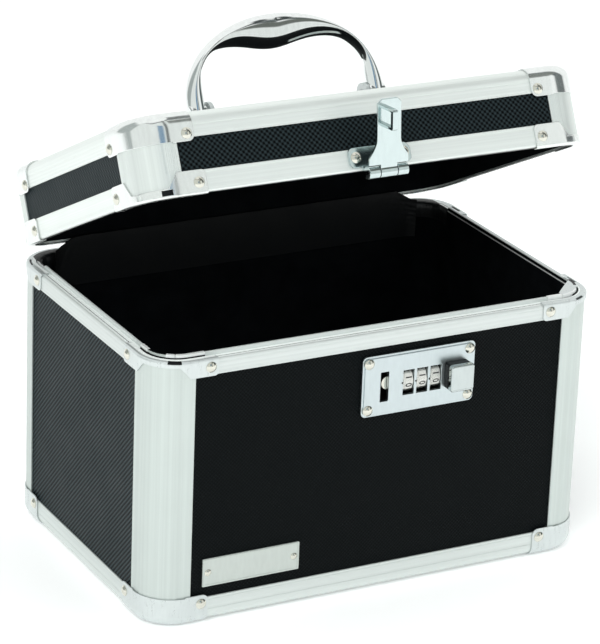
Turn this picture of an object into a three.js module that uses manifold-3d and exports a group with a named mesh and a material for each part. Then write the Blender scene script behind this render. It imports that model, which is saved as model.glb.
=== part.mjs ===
// A portable car safe: a board box in aluminium edge extrusions and stamped corner caps, a lid
// hinged at the back, a fold-down carry handle, and a hasp that a three-dial lock holds shut.
// Millimetres, +Z up, +X right along the front. The origin lies on the standing plane, under
// the centre of the case. The lid is drawn closed and then turned open about its hinge.
import * as THREE from "three";
import { mergeVertices } from "three/addons/utils/BufferGeometryUtils.js";
import Module from "manifold-3d";

const wasm = await Module();
wasm.setup();

// Case, measured over its black faces.
const CASE_W = 260;
const CASE_D = 174;
const CORNER_R = 20; // the upright corners
const CORNER_STEPS = 6;
const WALL = 5; // case boards
const PANEL_LOW = 14.8; // top edge of the base trim
const RIM_TOP = 147; // shoulder that the lid comes down on
const RIM_H = 8.4; // face of the rim trim
const RIM_INSIDE = 6.4; // how far the rim trim reaches down inside
const TONGUE_H = 2.2;
const TONGUE_T = 1.2;
const TONGUE_STOP = 6; // the tongue ends this far before the back corners

// Lid, drawn closed.
const LID_GAP = 1.8; // between the two shoulders
const LID_RIM_H = 11.4;
const LID_STRIP_H = 16.8; // black band between its two trims
const LID_TOP_H = 13.3;
const LID_WALL = 2.8;
const LID_BOARD = 4;
const LID_OPEN = 26.6; // degrees

// Sheet and fits.
const TRIM_T = 0.8;
const CAP_T = 0.7;
const SEAT = 0.1; // between pieces that are pressed or riveted together
const RUN = 0.06; // radial clearance of a pin in its bore
const EDGE_R = 6; // round of the bottom and top edges
const RIM_R = 1.4;
const FLANGE = 11; // reach of a trim under the base and over the lid
const POST_REACH = 22.2; // corner post, from the corner along each face
const POST_INSET = 2.5; // the post's end below the shoulder
const LINING_T = 1.2;

// Felt strip that stands inside the back rim and covers the hinges.
const COVER_T = 1;
const COVER_UP = 9; // above the shoulder
const COVER_DOWN = 19; // below the shoulder
const COVER_SHORT = 0.5; // ends before the corner's round
const COVER_SLOPE = [9.5, 5.6]; // its top falls away at both ends

// Corner caps.
const CAP_LEG = 32; // leg length from the corner, at the base and the lid's top
const RIM_CAP_LEG = 34.5;
const CAP_OVER = 2; // how far a cap reaches past its trim
const CAP_IN = 10; // reach under the base and over the lid
const CAP_CHAMFER = 2.6;
const LIP_H = 2.6;
const LIP_FRONT = 9; // lip legs past the corner's round
const LIP_SIDE = 12;
const LEG_OPEN = 14; // half width of a rim cap's opening at its ring
const LEG_CUT = 18.4; // where a rim cap's leg starts at its panel edge
const RIVET_R = 2.9;
const RIVET_H = 1.5;
const CAP_RIVET = 28; // from the corner
const RIM_CAP_RIVET = 30.2;
const RIVET_EDGE = 12; // base and top rivets, from the outer edge

// Back hinges.
const HINGE_OUT = 5; // pin behind the back face
const HINGE_RISE = 5; // pin above the lid's lower edge
const HINGE_IN = 56; // hinge centre, from the side
const HINGE_W = 36;
const HINGE_KNUCKLE = 3.4;
const HINGE_PIN = 1.3;
const HINGE_UP = 15;
const HINGE_DOWN = 19;
const HINGE_CLEAR = 0.5; // leaf edge beyond the knuckle
const HINGE_RIVET_IN = 4; // from the leaf's end
const PIN_SHORT = 1; // pin ends inside the outer knuckles
const SMALL_RIVET = [2.2, 1.1];
const LEAF_T = 1.2;
const KNUCKLE_GAP = 0.3;

// Combination lock on the front.
const LOCK_X = 20.9; // plate centre, right of the case's centre
const LOCK_DROP = 29.5; // plate centre, below the shoulder
const LOCK_W = 67;
const LOCK_H = 33.8;
const LOCK_T = 2.2;
const LOCK_FIELD = 1.2; // inset of the raised field
const LOCK_STEP = 0.7;
const LOCK_R = 2.8;
const LOCK_RIVET_X = 29.9;
const LOCK_RIVET_Z = 12.9;
const SLOT_OFF = -20.5; // from the plate's centre, as the next two are
const SLOT_W = 4.8;
const SLOT_H = 16.4;
const DIAL_OFF = -6.2; // first dial
const DIAL_PITCH = 8.1;
const DIAL_COUNT = 3;
const DIAL_R = 7.2;
const DIAL_W = 6;
const DIAL_SUNK = 0.4; // facet behind the plate's face
const DIAL_FACES = 10;
const DIAL_TURN = 16; // degrees, the front facet below the axis
const WINDOW_GAP = 0.25;
const WINDOW_H = 13.8;
const SPINDLE_R = 1.5;
const HOUSE_T = 1.2;
const HOUSE_DEPTH = 14.2;
const HOUSE_MARGIN = 3.4; // plate beyond the housing, top and bottom
const HOUSE_SIDE = 5.8; // plate beyond the housing, left
const SLIDER_T = 2.2;
const SLIDER_GAP = 0.3;
const BOLT_H = 7.4;
const BOLT_OUT = 3; // bolt end past the slot's right edge
const BOLT_TRAVEL = 3.4;
const BRIDGE_H = 2.8;
const BUTTON_OFF = 22.1;
const BUTTON_W = 13.8;
const BUTTON_H = 14.6;
const BUTTON_OUT = 7.7;
const BUTTON_BEVEL = 0.8;
const NECK_W = 4.6;
const NECK_H = 7.2;

// Hasp, hinged at the lid's front lower edge.
const HASP_OFF = 2.2; // arm centre, right of the slot's centre
const HASP_OUT = 6; // pin before the front face
const HASP_DROP = 2.1; // pin below the lid's lower edge
const HASP_LEAN = 22.3; // degrees off the lid's face when flipped up
const HASP_KNUCKLE = 3.6;
const HASP_PIN = 1.3;
const HASP_BARREL = 22.6;
const HASP_MIDDLE = 9.6;
const ARM_T = 1.4;
const ARM_FACE = 2.6; // the arm's inner face from the pin's axis
const ARM_L = 38.5;
const ARM_W = 13.8;
const ARM_FOOT = 8.2; // end of the wide foot
const ARM_NECK = 17;
const ARM_CHAMFER = 2.3;
const STAPLE_W = 3;
const STAPLE_H = 10.9;
const STAPLE_OUT = 10;
const STAPLE_LEG = 1.6;
const STAPLE_BAR = 2.4;
const STAPLE_CUT = 1.5;
const MOUNT_W = 36;
const MOUNT_LOW = 1.7; // above the lid's lower edge
const MOUNT_H = 10.4;
const MOUNT_RIVET = 13.9;
const MOUNT_R = 2.4;
const KNUCKLE_ROOT = 0.5; // how far a knuckle's root reaches into it
const FOOT_CLEAR = 0.6; // foot beyond the knuckle
const FOOT_STEP = 1.6;
const STRAP_REACH = 1.6; // strap past the knuckle, onto the foot

// Carry handle on the lid.
const HANDLE_RISE = 8; // pin above the top trim
const HANDLE_X = 0.9;
const HANDLE_OUTER = [58.9, 49, 2.1]; // half width, height, roundness
const HANDLE_INNER = [48.3, 34.5, 4.6];
const BELLY = 4.7;
const BELLY_W = 17;
const HANDLE_DEPTH = 14;
const HANDLE_FOOT = 10.6;
const HANDLE_PIN = 2.2;
const EAR_T = 2.4;
const EAR_R = 6;
const EAR_GAP = 0.5;
const BRACKET_IN = 9;
const BRACKET_D = 18;
const BRACKET_T = 1.4;

// Nameplate, left bare.
const NAME_IN = 56.8; // plate centre, from the left side
const NAME_Z = 28.6;
const NAME_W = 56;
const NAME_H = 15.7;
const NAME_T = 1;
const NAME_RIVET = 24.9;
const NAME_RIVET_R = 1.9;

const HALF_W = CASE_W / 2;
const HALF_D = CASE_D / 2;
const PANEL_TOP = RIM_TOP - RIM_H; // lower edge of the rim trim
const LOCK_Z = RIM_TOP - LOCK_DROP;
const LID_LOW = RIM_TOP + LID_GAP;
const STRIP_LOW = LID_LOW + LID_RIM_H;
const STRIP_TOP = STRIP_LOW + LID_STRIP_H;
const LID_TOP = STRIP_TOP + LID_TOP_H;
const BASE_Z = CAP_T + SEAT; // underside of the base trim
const FLOOR_Z = BASE_Z + TRIM_T + WALL;
const CAP_FACE = TRIM_T + SEAT; // inner face of a cap, off the black face
const CAP_OUT = CAP_FACE + CAP_T;
const CEILING_Z = LID_TOP - TRIM_T - LID_BOARD;
const HINGE_X = HALF_W - HINGE_IN;
const NAME_X = NAME_IN - HALF_W;
const SLOT_X = LOCK_X + SLOT_OFF;
const DIAL_X = LOCK_X + DIAL_OFF;
const BUTTON_X = LOCK_X + BUTTON_OFF;
const HASP_X = SLOT_X + HASP_OFF;
const PLATE_FACE = -HALF_D - LOCK_T;
const DIAL_Y = PLATE_FACE + DIAL_SUNK + DIAL_R * Math.cos(Math.PI / DIAL_FACES);
const HASP_Y = -HALF_D - HASP_OUT;
const HASP_Z = LID_LOW - HASP_DROP;
const HANDLE_Z = LID_TOP + HANDLE_RISE;
const LID_FACE = LID_TOP - TRIM_T; // top of the lid's board

const material = (color, roughness, metalness) =>
  new THREE.MeshStandardMaterial({ color, roughness, metalness });
const LAMINATE = material(0x15191a, 0.55, 0);
const SATIN = material(0xd9e0dd, 0.38, 0.9);
const CHROME = material(0xe4e8e8, 0.12, 1);
const STEEL = material(0xc9cccb, 0.28, 1);
const FELT = material(0x0a0b0c, 0.95, 0);
const HOUSING = material(0x2a2c2d, 0.5, 0.1);
const DIAL = material(0xdedfd8, 0.35, 0.3);

// The corners in order of their angle, and the turn at which each starts.
const CORNERS = { br: 0, bl: 1, fl: 2, fr: 3 };

const rad = THREE.MathUtils.degToRad;

// A closed three.js geometry as a solid that can be joined and cut.
function solid(geometry) {
  const bare = new THREE.BufferGeometry().setAttribute(
    "position",
    (geometry.index ? geometry.toNonIndexed() : geometry).getAttribute("position"),
  );
  const merged = mergeVertices(bare, 1e-4);
  const triVerts = new Uint32Array(merged.index.array);
  const vertProperties = merged.attributes.position.array;
  const make = () =>
    new wasm.Manifold(new wasm.Mesh({ numProp: 3, vertProperties, triVerts }));
  const made = make();
  if (made.volume() > 0) return made;
  for (let i = 0; i < triVerts.length; i += 3)
    [triVerts[i + 1], triVerts[i + 2]] = [triVerts[i + 2], triVerts[i + 1]];
  return make();
}

const join = (...parts) => parts.reduce((a, b) => a.add(b));
const cut = (base, ...tools) => tools.reduce((a, b) => a.subtract(b), base);

function mesh(name, shape, look) {
  const { vertProperties, triVerts } = shape.getMesh();
  const geometry = new THREE.BufferGeometry()
    .setAttribute("position", new THREE.BufferAttribute(vertProperties, 3))
    .setIndex(new THREE.BufferAttribute(triVerts, 1));
  geometry.computeVertexNormals();
  const made = new THREE.Mesh(geometry, look);
  made.name = name;
  return made;
}

function box(x0, x1, y0, y1, z0, z1) {
  const geometry = new THREE.BoxGeometry(x1 - x0, y1 - y0, z1 - z0);
  return solid(geometry.translate((x0 + x1) / 2, (y0 + y1) / 2, (z0 + z1) / 2));
}

// A round bar along X.
function rod(radius, x0, x1, y, z, sides = 16) {
  const geometry = new THREE.CylinderGeometry(radius, radius, x1 - x0, sides);
  return solid(geometry.rotateZ(Math.PI / 2).translate((x0 + x1) / 2, y, z));
}

// A bore along X that a pin of this radius runs in.
const bore = (radius, x0, x1, y, z, sides = 16) =>
  rod((radius + RUN) / Math.cos(Math.PI / sides), x0, x1, y, z, sides);

const shapeOf = (points) => new THREE.Shape(points.map(([x, y]) => new THREE.Vector2(x, y)));

function roundedShape(w, h, r, x = 0, y = 0) {
  const shape = new THREE.Shape();
  const [a, b] = [w / 2, h / 2];
  shape.absarc(x + a - r, y + b - r, r, 0, Math.PI / 2);
  shape.absarc(x - a + r, y + b - r, r, Math.PI / 2, Math.PI);
  shape.absarc(x - a + r, y - b + r, r, Math.PI, 1.5 * Math.PI);
  shape.absarc(x + a - r, y - b + r, r, 1.5 * Math.PI, 2 * Math.PI);
  return shape;
}

const extrude = (shape, depth, more = {}) =>
  new THREE.ExtrudeGeometry(shape, { depth, bevelEnabled: false, curveSegments: 2, ...more });

// A shape drawn in X and Z, grown from y towards the front.
function frontPlate(shape, y, depth, more) {
  return solid(extrude(shape, depth, more).rotateX(Math.PI / 2).translate(0, y, 0));
}

// A shape drawn in Y and Z, grown along X.
function sidePlate(shape, x0, x1) {
  const turn = new THREE.Matrix4().makeBasis(
    new THREE.Vector3(0, 1, 0),
    new THREE.Vector3(0, 0, 1),
    new THREE.Vector3(1, 0, 0),
  );
  return solid(extrude(shape, x1 - x0).applyMatrix4(turn).translate(x0, 0, 0));
}

const floorPlate = (shape, z, depth) => solid(extrude(shape, depth).translate(0, 0, z));

function arc(cx, cy, r, from, to, steps) {
  return Array.from({ length: steps + 1 }, (_, i) => {
    const a = rad(from + ((to - from) * i) / steps);
    return [cx + r * Math.cos(a), cy + r * Math.sin(a)];
  });
}

// Places along the case's plan outline round one corner, with legs before and after its arc.
function cornerPath(turn, legs, steps = CORNER_STEPS) {
  const from = turn * 90;
  const [sx, sy] = [Math.sign(Math.cos(rad(from + 45))), Math.sign(Math.sin(rad(from + 45)))];
  const [cx, cy] = [sx * (HALF_W - CORNER_R), sy * (HALF_D - CORNER_R)];
  const places = Array.from({ length: steps + 1 }, (_, i) => {
    const a = rad(from + (90 * i) / steps);
    const [nx, ny] = [Math.cos(a), Math.sin(a)];
    return { x: cx + CORNER_R * nx, y: cy + CORNER_R * ny, nx, ny };
  });
  const along = (p, d) => ({ ...p, x: p.x - p.ny * d, y: p.y + p.nx * d });
  if (legs[0]) places.unshift(along(places[0], -legs[0]));
  if (legs[1]) places.push(along(places.at(-1), legs[1]));
  return places;
}

const wholePath = () => Object.values(CORNERS).flatMap((turn) => cornerPath(turn, [0, 0]));

// The case's plan outline, drawn in by an offset.
const planShape = (off) => shapeOf(wholePath().map((p) => [p.x - p.nx * off, p.y - p.ny * off]));

// Carries a closed section of [offset, z] points along a plan path.
function sweep(profile, path, closed = false) {
  const flat = profile.map(([x, y]) => new THREE.Vector2(x, y));
  const section = THREE.ShapeUtils.isClockWise(flat) ? profile.toReversed() : profile;
  const n = section.length;
  const points = path.flatMap((p) => section.map(([o, z]) => [p.x + p.nx * o, p.y + p.ny * o, z]));
  const faces = [];
  const spans = closed ? path.length : path.length - 1;
  for (let s = 0; s < spans; s++)
    for (let i = 0; i < n; i++) {
      const [a, b] = [s * n + i, s * n + ((i + 1) % n)];
      const [c, d] = [((s + 1) % path.length) * n + i, ((s + 1) % path.length) * n + ((i + 1) % n)];
      faces.push(a, b, c, b, d, c);
    }
  if (!closed) {
    const last = (path.length - 1) * n;
    const ends = section.map(([x, y]) => new THREE.Vector2(x, y));
    for (const [a, b, c] of THREE.ShapeUtils.triangulateShape(ends, []))
      faces.push(a, c, b, last + a, last + b, last + c);
  }
  const geometry = new THREE.BufferGeometry();
  geometry.setAttribute("position", new THREE.Float32BufferAttribute(points.flat(), 3));
  return solid(geometry.setIndex(faces));
}

// A domed rivet head standing on a face, sunk a little into it.
function rivet(at, normal, radius = RIVET_R, height = RIVET_H) {
  const dome = arc(0, 0, 1, 0, 90, 3).map(([x, y]) => new THREE.Vector2(x * radius, y * height));
  dome[dome.length - 1].x = 0;
  const sunk = -SEAT - CAP_T / 2;
  const profile = [new THREE.Vector2(0, sunk), new THREE.Vector2(radius, sunk), ...dome];
  const turn = new THREE.Quaternion().setFromUnitVectors(
    new THREE.Vector3(0, 1, 0),
    new THREE.Vector3(...normal),
  );
  const geometry = new THREE.LatheGeometry(profile, 10).applyQuaternion(turn);
  return solid(geometry.translate(...at));
}

// The two places on a corner's faces that lie a given way along from its sharp corner.
function legPlaces(turn, reach, off) {
  const path = cornerPath(turn, [0, 0], 1);
  const ends = [
    { ...path[0], d: CORNER_R - reach },
    { ...path[1], d: reach - CORNER_R },
  ];
  return ends.map(({ x, y, nx, ny, d }) => ({
    at: [x - ny * d + nx * off, y + nx * d + ny * off],
    normal: [nx, ny, 0],
  }));
}

// Cuts the corners off a cap's leg ends on their panel side.
function chamferTools(turn, reach, z) {
  return legPlaces(turn, reach, CAP_FACE).map(({ at, normal }) => {
    const side = CAP_CHAMFER * Math.SQRT2;
    const geometry = new THREE.BoxGeometry(6 * CAP_T, side, side).rotateX(Math.PI / 4);
    geometry.rotateZ(Math.atan2(normal[1], normal[0]));
    return solid(geometry.translate(at[0], at[1], z));
  });
}

// The sheet of an edge cap: a face, a round edge and a flange. dir is +1 at the base, -1 on top.
function edgeCapSection(edge, dir) {
  const [cx, cz] = [TRIM_T - EDGE_R, BASE_Z + EDGE_R];
  const tip = (dir > 0 ? PANEL_LOW : LID_TOP_H + BASE_Z) + CAP_OVER;
  const outer = arc(cx, cz, EDGE_R + SEAT + CAP_T, 0, -90, 4);
  const inner = arc(cx, cz, EDGE_R + SEAT, -90, 0, 4);
  return [[CAP_OUT, tip], ...outer, [-CAP_IN, 0], [-CAP_IN, CAP_T], ...inner, [CAP_FACE, tip]].map(
    ([o, z]) => [o, edge + dir * z],
  );
}

function edgeCap(turn, edge, dir) {
  const leg = CAP_LEG - CORNER_R;
  const tip = edge + dir * ((dir > 0 ? PANEL_LOW : LID_TOP_H + BASE_Z) + CAP_OVER);
  const sheet = sweep(edgeCapSection(edge, dir), cornerPath(turn, [leg, leg]));
  const heads = legPlaces(turn, CAP_RIVET, CAP_OUT).map(({ at, normal }) =>
    rivet([...at, edge + dir * RIVET_EDGE], normal),
  );
  return join(cut(sheet, ...chamferTools(turn, CAP_LEG, tip)), ...heads);
}

// The square pyramid that opens a rim cap between its legs, so the post shows.
function legOpening(turn, z0, r0, z1, r1) {
  const geometry = new THREE.CylinderGeometry(r1 * Math.SQRT2, r0 * Math.SQRT2, z1 - z0, 4);
  geometry.rotateY(Math.PI / 4).rotateX(Math.PI / 2);
  const a = rad(turn * 90 + 45);
  const [sx, sy] = [Math.sign(Math.cos(a)), Math.sign(Math.sin(a))];
  return solid(geometry.translate(sx * HALF_W, sy * HALF_D, (z0 + z1) / 2));
}

// A rim cap: two legs over the rim trim and a thin ring round the corner. The case's caps have
// a lip beside the tongue.
function rimCap(turn, shoulder, dir, panel, inward, lip) {
  const ring = POST_INSET + SEAT;
  const top = SEAT + CAP_T;
  const sheet = [
    [CAP_FACE, -panel],
    [CAP_OUT, -panel],
    ...arc(CAP_OUT - RIM_R, top - RIM_R, RIM_R, 0, 90, 2),
    [-inward, top],
    [-inward, SEAT],
    ...arc(CAP_FACE - RIM_R + CAP_T, SEAT - RIM_R + CAP_T, RIM_R - CAP_T, 90, 0, 2),
  ].map(([o, z]) => [o, shoulder + dir * z]);
  const leg = RIM_CAP_LEG - CORNER_R;
  const body = sweep(sheet, cornerPath(turn, [leg, leg]));
  const [low, high] = dir > 0 ? [panel + 1, ring] : [-ring, -panel - 1];
  const opening =
    dir > 0
      ? legOpening(turn, shoulder - low, LEG_CUT, shoulder - high, LEG_OPEN)
      : legOpening(turn, shoulder - low, LEG_OPEN, shoulder - high, LEG_CUT);
  const z = shoulder - dir * panel;
  const heads = legPlaces(turn, RIM_CAP_RIVET, CAP_OUT).map(({ at, normal }) =>
    rivet([...at, (shoulder + z) / 2 + dir * 0.6], normal),
  );
  const open = cut(body, opening, ...chamferTools(turn, RIM_CAP_LEG, z));
  return join(open, ...heads, ...(lip ? [capLip(turn, shoulder)] : []));
}

// The lip stands beside the tongue, and stops short of the back wall, where the lid swings in.
function capLip(turn, shoulder) {
  const out = WALL + TRIM_T - TONGUE_T - SEAT;
  const z0 = shoulder + SEAT + CAP_T / 2;
  const section = [
    [-out, z0],
    [-out + CAP_T, z0],
    [-out + CAP_T, shoulder + LIP_H],
    [-out, shoulder + LIP_H],
  ];
  const front = turn === CORNERS.fl || turn === CORNERS.fr;
  if (front) return sweep(section, cornerPath(turn, [LIP_FRONT, LIP_FRONT]));
  const path = cornerPath(turn, [LIP_SIDE, LIP_SIDE], 1);
  const side = turn === CORNERS.br ? path.slice(0, 2) : path.slice(2, 4);
  return sweep(section, side).subtract(
    box(-HALF_W, HALF_W, HALF_D - CORNER_R - TONGUE_STOP, HALF_D, z0 + CAP_T, LID_LOW + LIP_H),
  );
}

// A corner post: a round outer skin with a flange on each face, and a core between the boards.
function post(turn, wall, z0, z1, flange0, flange1) {
  const flange = POST_REACH - CORNER_R;
  const [inner, skin] = [CORNER_R - wall, CORNER_R + TRIM_T];
  const core = [
    ...arc(0, 0, skin, 0, 90, CORNER_STEPS),
    ...arc(0, 0, inner, 90, 0, CORNER_STEPS),
  ];
  const wings = [
    [CORNER_R, 0.01],
    [CORNER_R, -flange],
    [skin, -flange],
    ...arc(0, 0, skin, 0, 90, CORNER_STEPS),
    [-flange, skin],
    [-flange, CORNER_R],
    [0.01, CORNER_R],
    ...arc(0, 0, CORNER_R - 0.4, 90, 0, CORNER_STEPS),
  ];
  const shape = join(
    floorPlate(shapeOf(core), z0, z1 - z0),
    floorPlate(shapeOf(wings), flange0, flange1 - flange0),
  );
  return shape.rotate([0, 0, turn * 90]);
}

function placedPost(turn, wall, ...levels) {
  const a = rad(turn * 90 + 45);
  const x = Math.sign(Math.cos(a)) * (HALF_W - CORNER_R);
  const y = Math.sign(Math.sin(a)) * (HALF_D - CORNER_R);
  return post(turn, wall, ...levels).translate([x, y, 0]);
}

// An edge trim: a face, a round edge, a flange, and a ledge that holds both boards.
function edgeTrim(edge, dir, wall, board, face) {
  const section = [
    [TRIM_T, face],
    ...arc(TRIM_T - EDGE_R, BASE_Z + EDGE_R, EDGE_R, 0, -90, 4),
    [-FLANGE, BASE_Z],
    [-FLANGE, BASE_Z + TRIM_T],
    [-wall, BASE_Z + TRIM_T],
    [-wall, BASE_Z + TRIM_T + board],
    [0, BASE_Z + TRIM_T + board],
    [0, face],
  ].map(([o, z]) => [o, edge + dir * z]);
  return sweep(section, wholePath(), true);
}

// A rim trim: a channel over the edge of the boards, open at the corners where the posts end.
function rimTrim(shoulder, dir, wall, face, inside) {
  const section = [
    [0, -face],
    [TRIM_T, -face],
    ...arc(TRIM_T - RIM_R, -RIM_R, RIM_R, 0, 90, 2),
    [-wall - TRIM_T, 0],
    [-wall - TRIM_T, -inside],
    [-wall, -inside],
    [-wall, -TRIM_T],
    [0, -TRIM_T],
  ].map(([o, z]) => [o, shoulder + dir * z]);
  const [a, b] = [shoulder - dir * (face + 1), shoulder - dir * POST_INSET];
  const [z0, z1] = [Math.min(a, b), Math.max(a, b)];
  const openings = Object.values(CORNERS).map((turn) =>
    legOpening(turn, z0, CORNER_R + SEAT, z1, CORNER_R + SEAT),
  );
  return cut(sweep(section, wholePath(), true), ...openings);
}

// The tongue runs round the front and sides. The back has none, because the lid swings in there.
function tongue() {
  const inner = WALL + TRIM_T;
  const top = RIM_TOP + TONGUE_H;
  const section = [
    [-inner, RIM_TOP - TRIM_T / 2],
    [-inner + TONGUE_T, RIM_TOP - TRIM_T / 2],
    [-inner + TONGUE_T, top - 0.3],
    [-inner + TONGUE_T - 0.3, top],
    [-inner, top],
  ];
  const side = CASE_D - 2 * CORNER_R - TONGUE_STOP;
  const path = [
    ...cornerPath(CORNERS.fl, [side, 0]),
    ...cornerPath(CORNERS.fr, [0, side]),
  ];
  return sweep(section, path);
}

// A lining tray, open on the side that dir points to.
function tray(off, closed, open, dir) {
  const [z0, z1] = [Math.min(closed, open), Math.max(closed, open)];
  const inner = planShape(off + LINING_T);
  const hollow = floorPlate(inner, dir > 0 ? z0 + LINING_T : z0 - 1, z1 - z0 - LINING_T + 1);
  return cut(floorPlate(planShape(off), z0, z1 - z0), hollow);
}

// A felt strip inside the back wall. It stands over the rim, and its top falls at both ends.
function hingeCover() {
  const half = HALF_W - CORNER_R - COVER_SHORT;
  const top = RIM_TOP + COVER_UP;
  const [run, fall] = COVER_SLOPE;
  const shape = shapeOf([
    [-half, RIM_TOP - COVER_DOWN],
    [half, RIM_TOP - COVER_DOWN],
    [half, top - fall],
    [half - run, top],
    [run - half, top],
    [-half, top - fall],
  ]);
  return frontPlate(shape, HALF_D - WALL - LINING_T - 2 * SEAT, COVER_T);
}

function caseMeshes() {
  const boardTop = RIM_TOP - TRIM_T - SEAT;
  const boardLow = FLOOR_Z + SEAT;
  const wide = HALF_W - CORNER_R - SEAT;
  const deep = HALF_D - CORNER_R - SEAT;
  const [out, back] = [SEAT, WALL - SEAT];
  const house = lockHouse();
  const hole = box(
    house.x0 - 0.3,
    house.x1 + 0.3,
    -HALF_D - 1,
    -HALF_D + 2 * WALL,
    house.z0 - 0.3,
    house.z1 + 0.3,
  );
  const front = box(-wide, wide, -HALF_D + out, -HALF_D + back, boardLow, boardTop);
  const lining = tray(WALL + SEAT, FLOOR_Z + SEAT, RIM_TOP - RIM_INSIDE - 3 * SEAT, 1);
  const ledge = BASE_Z + TRIM_T + SEAT;
  const base = join(
    floorPlate(planShape(WALL + SEAT), ledge, WALL - SEAT),
    floorPlate(planShape(FLANGE + SEAT), BASE_Z, 2 * TRIM_T),
  );
  const meshes = [
    mesh("panel_front", cut(front, hole), LAMINATE),
    mesh("panel_back", box(-wide, wide, HALF_D - back, HALF_D - out, boardLow, boardTop), LAMINATE),
    mesh("panel_left", box(-HALF_W + out, -HALF_W + back, -deep, deep, boardLow, boardTop), LAMINATE),
    mesh("panel_right", box(HALF_W - back, HALF_W - out, -deep, deep, boardLow, boardTop), LAMINATE),
    mesh("panel_base", base, LAMINATE),
    mesh("case_lining", cut(lining, hole), FELT),
    mesh("hinge_cover", hingeCover(), FELT),
    mesh("base_trim", edgeTrim(0, 1, WALL, WALL, PANEL_LOW), SATIN),
    mesh(
      "rim_trim",
      join(rimTrim(RIM_TOP, 1, WALL, RIM_H, RIM_INSIDE), tongue()),
      SATIN,
    ),
  ];
  for (const [name, turn] of Object.entries(CORNERS)) {
    const levels = [PANEL_LOW + SEAT, RIM_TOP - POST_INSET - SEAT, PANEL_LOW + SEAT, PANEL_TOP - SEAT];
    const inward = WALL + TRIM_T - TONGUE_T - SEAT - CAP_T;
    const panel = RIM_H + 3 * SEAT;
    meshes.push(
      mesh("corner_post_" + name, placedPost(turn, WALL, ...levels), SATIN),
      mesh("base_cap_" + name, edgeCap(turn, 0, 1), CHROME),
      mesh("rim_cap_" + name, rimCap(turn, RIM_TOP, 1, panel, inward, true), CHROME),
    );
  }
  return meshes;
}

function lidMeshes() {
  const low = LID_LOW + TRIM_T + SEAT;
  const high = CEILING_Z - SEAT;
  const wide = HALF_W - CORNER_R - SEAT;
  const deep = HALF_D - CORNER_R - SEAT;
  const [out, back] = [SEAT, LID_WALL - SEAT];
  const edge = LID_TOP + BASE_Z;
  const board = floorPlate(planShape(LID_WALL + SEAT), CEILING_Z + SEAT, LID_BOARD - 2 * SEAT);
  const meshes = [
    mesh("lid_board", board, LAMINATE),
    mesh("lid_side_front", box(-wide, wide, -HALF_D + out, -HALF_D + back, low, high), LAMINATE),
    mesh("lid_side_back", box(-wide, wide, HALF_D - back, HALF_D - out, low, high), LAMINATE),
    mesh("lid_side_left", box(-HALF_W + out, -HALF_W + back, -deep, deep, low, high), LAMINATE),
    mesh("lid_side_right", box(HALF_W - back, HALF_W - out, -deep, deep, low, high), LAMINATE),
    mesh("lid_lining", tray(LID_WALL + TRIM_T + SEAT, high, low + SEAT, -1), FELT),
    mesh("lid_top_trim", edgeTrim(edge, -1, LID_WALL, LID_BOARD, LID_TOP_H + BASE_Z), SATIN),
    mesh("lid_rim_trim", rimTrim(LID_LOW, -1, LID_WALL, LID_RIM_H, LID_RIM_H - POST_INSET), SATIN),
  ];
  for (const [name, turn] of Object.entries(CORNERS)) {
    const levels = [
      LID_LOW + POST_INSET + SEAT,
      STRIP_TOP - SEAT,
      STRIP_LOW + SEAT,
      STRIP_TOP - SEAT,
    ];
    meshes.push(
      mesh("lid_post_" + name, placedPost(turn, LID_WALL, ...levels), SATIN),
      mesh("lid_top_cap_" + name, edgeCap(turn, edge, -1), CHROME),
      mesh(
        "lid_rim_cap_" + name,
        rimCap(turn, LID_LOW, -1, LID_RIM_H + 3 * SEAT, LID_WALL, false),
        CHROME,
      ),
    );
  }
  return meshes;
}

// A hinge leaf on the back. dir is +1 for the lid's leaf, which has the middle knuckle, and -1
// for the case's leaf, which has the outer knuckles and the pin.
function hingeLeaf(x, dir, reach) {
  const [y, z] = [HALF_D + HINGE_OUT, LID_LOW + HINGE_RISE];
  const [y0, y1] = [HALF_D + CAP_FACE, HALF_D + CAP_FACE + LEAF_T];
  const third = HINGE_W / 3;
  const clear = HINGE_KNUCKLE + HINGE_CLEAR;
  const span = (a, b) => (dir > 0 ? [z + a, z + b] : [z - b, z - a]);
  const plate = box(x - HINGE_W / 2, x + HINGE_W / 2, y0, y1, ...span(clear, reach));
  const runs =
    dir > 0
      ? [[x - third / 2 + KNUCKLE_GAP / 2, x + third / 2 - KNUCKLE_GAP / 2]]
      : [
          [x - HINGE_W / 2, x - third / 2 - KNUCKLE_GAP / 2],
          [x + third / 2 + KNUCKLE_GAP / 2, x + HINGE_W / 2],
        ];
  const knuckles = runs.flatMap(([a, b]) => [
    rod(HINGE_KNUCKLE, a, b, y, z),
    box(a, b, y0, y1, ...span(0, clear + HINGE_CLEAR)),
  ]);
  const heads = [-1, 1].map((s) =>
    rivet([x + s * third, y1, z + dir * (reach - HINGE_RIVET_IN)], [0, 1, 0], ...SMALL_RIVET),
  );
  const leaf = join(plate, ...knuckles, ...heads);
  if (dir > 0) return cut(leaf, bore(HINGE_PIN, x - third, x + third, y, z));
  const reachX = HINGE_W / 2 - PIN_SHORT;
  return join(leaf, rod(HINGE_PIN, x - reachX, x + reachX, y, z));
}

// The lock housing's outside, which sets the opening in the front board and the lining.
function lockHouse() {
  return {
    x0: LOCK_X - LOCK_W / 2 + HOUSE_SIDE,
    x1: LOCK_X + LOCK_W / 2 - 1,
    y0: -HALF_D + SEAT,
    y1: -HALF_D + HOUSE_DEPTH,
    z0: LOCK_Z - LOCK_H / 2 + HOUSE_MARGIN,
    z1: LOCK_Z + LOCK_H / 2 - HOUSE_MARGIN,
  };
}

const dialCentres = () =>
  Array.from({ length: DIAL_COUNT }, (_, i) => DIAL_X + i * DIAL_PITCH);

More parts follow.
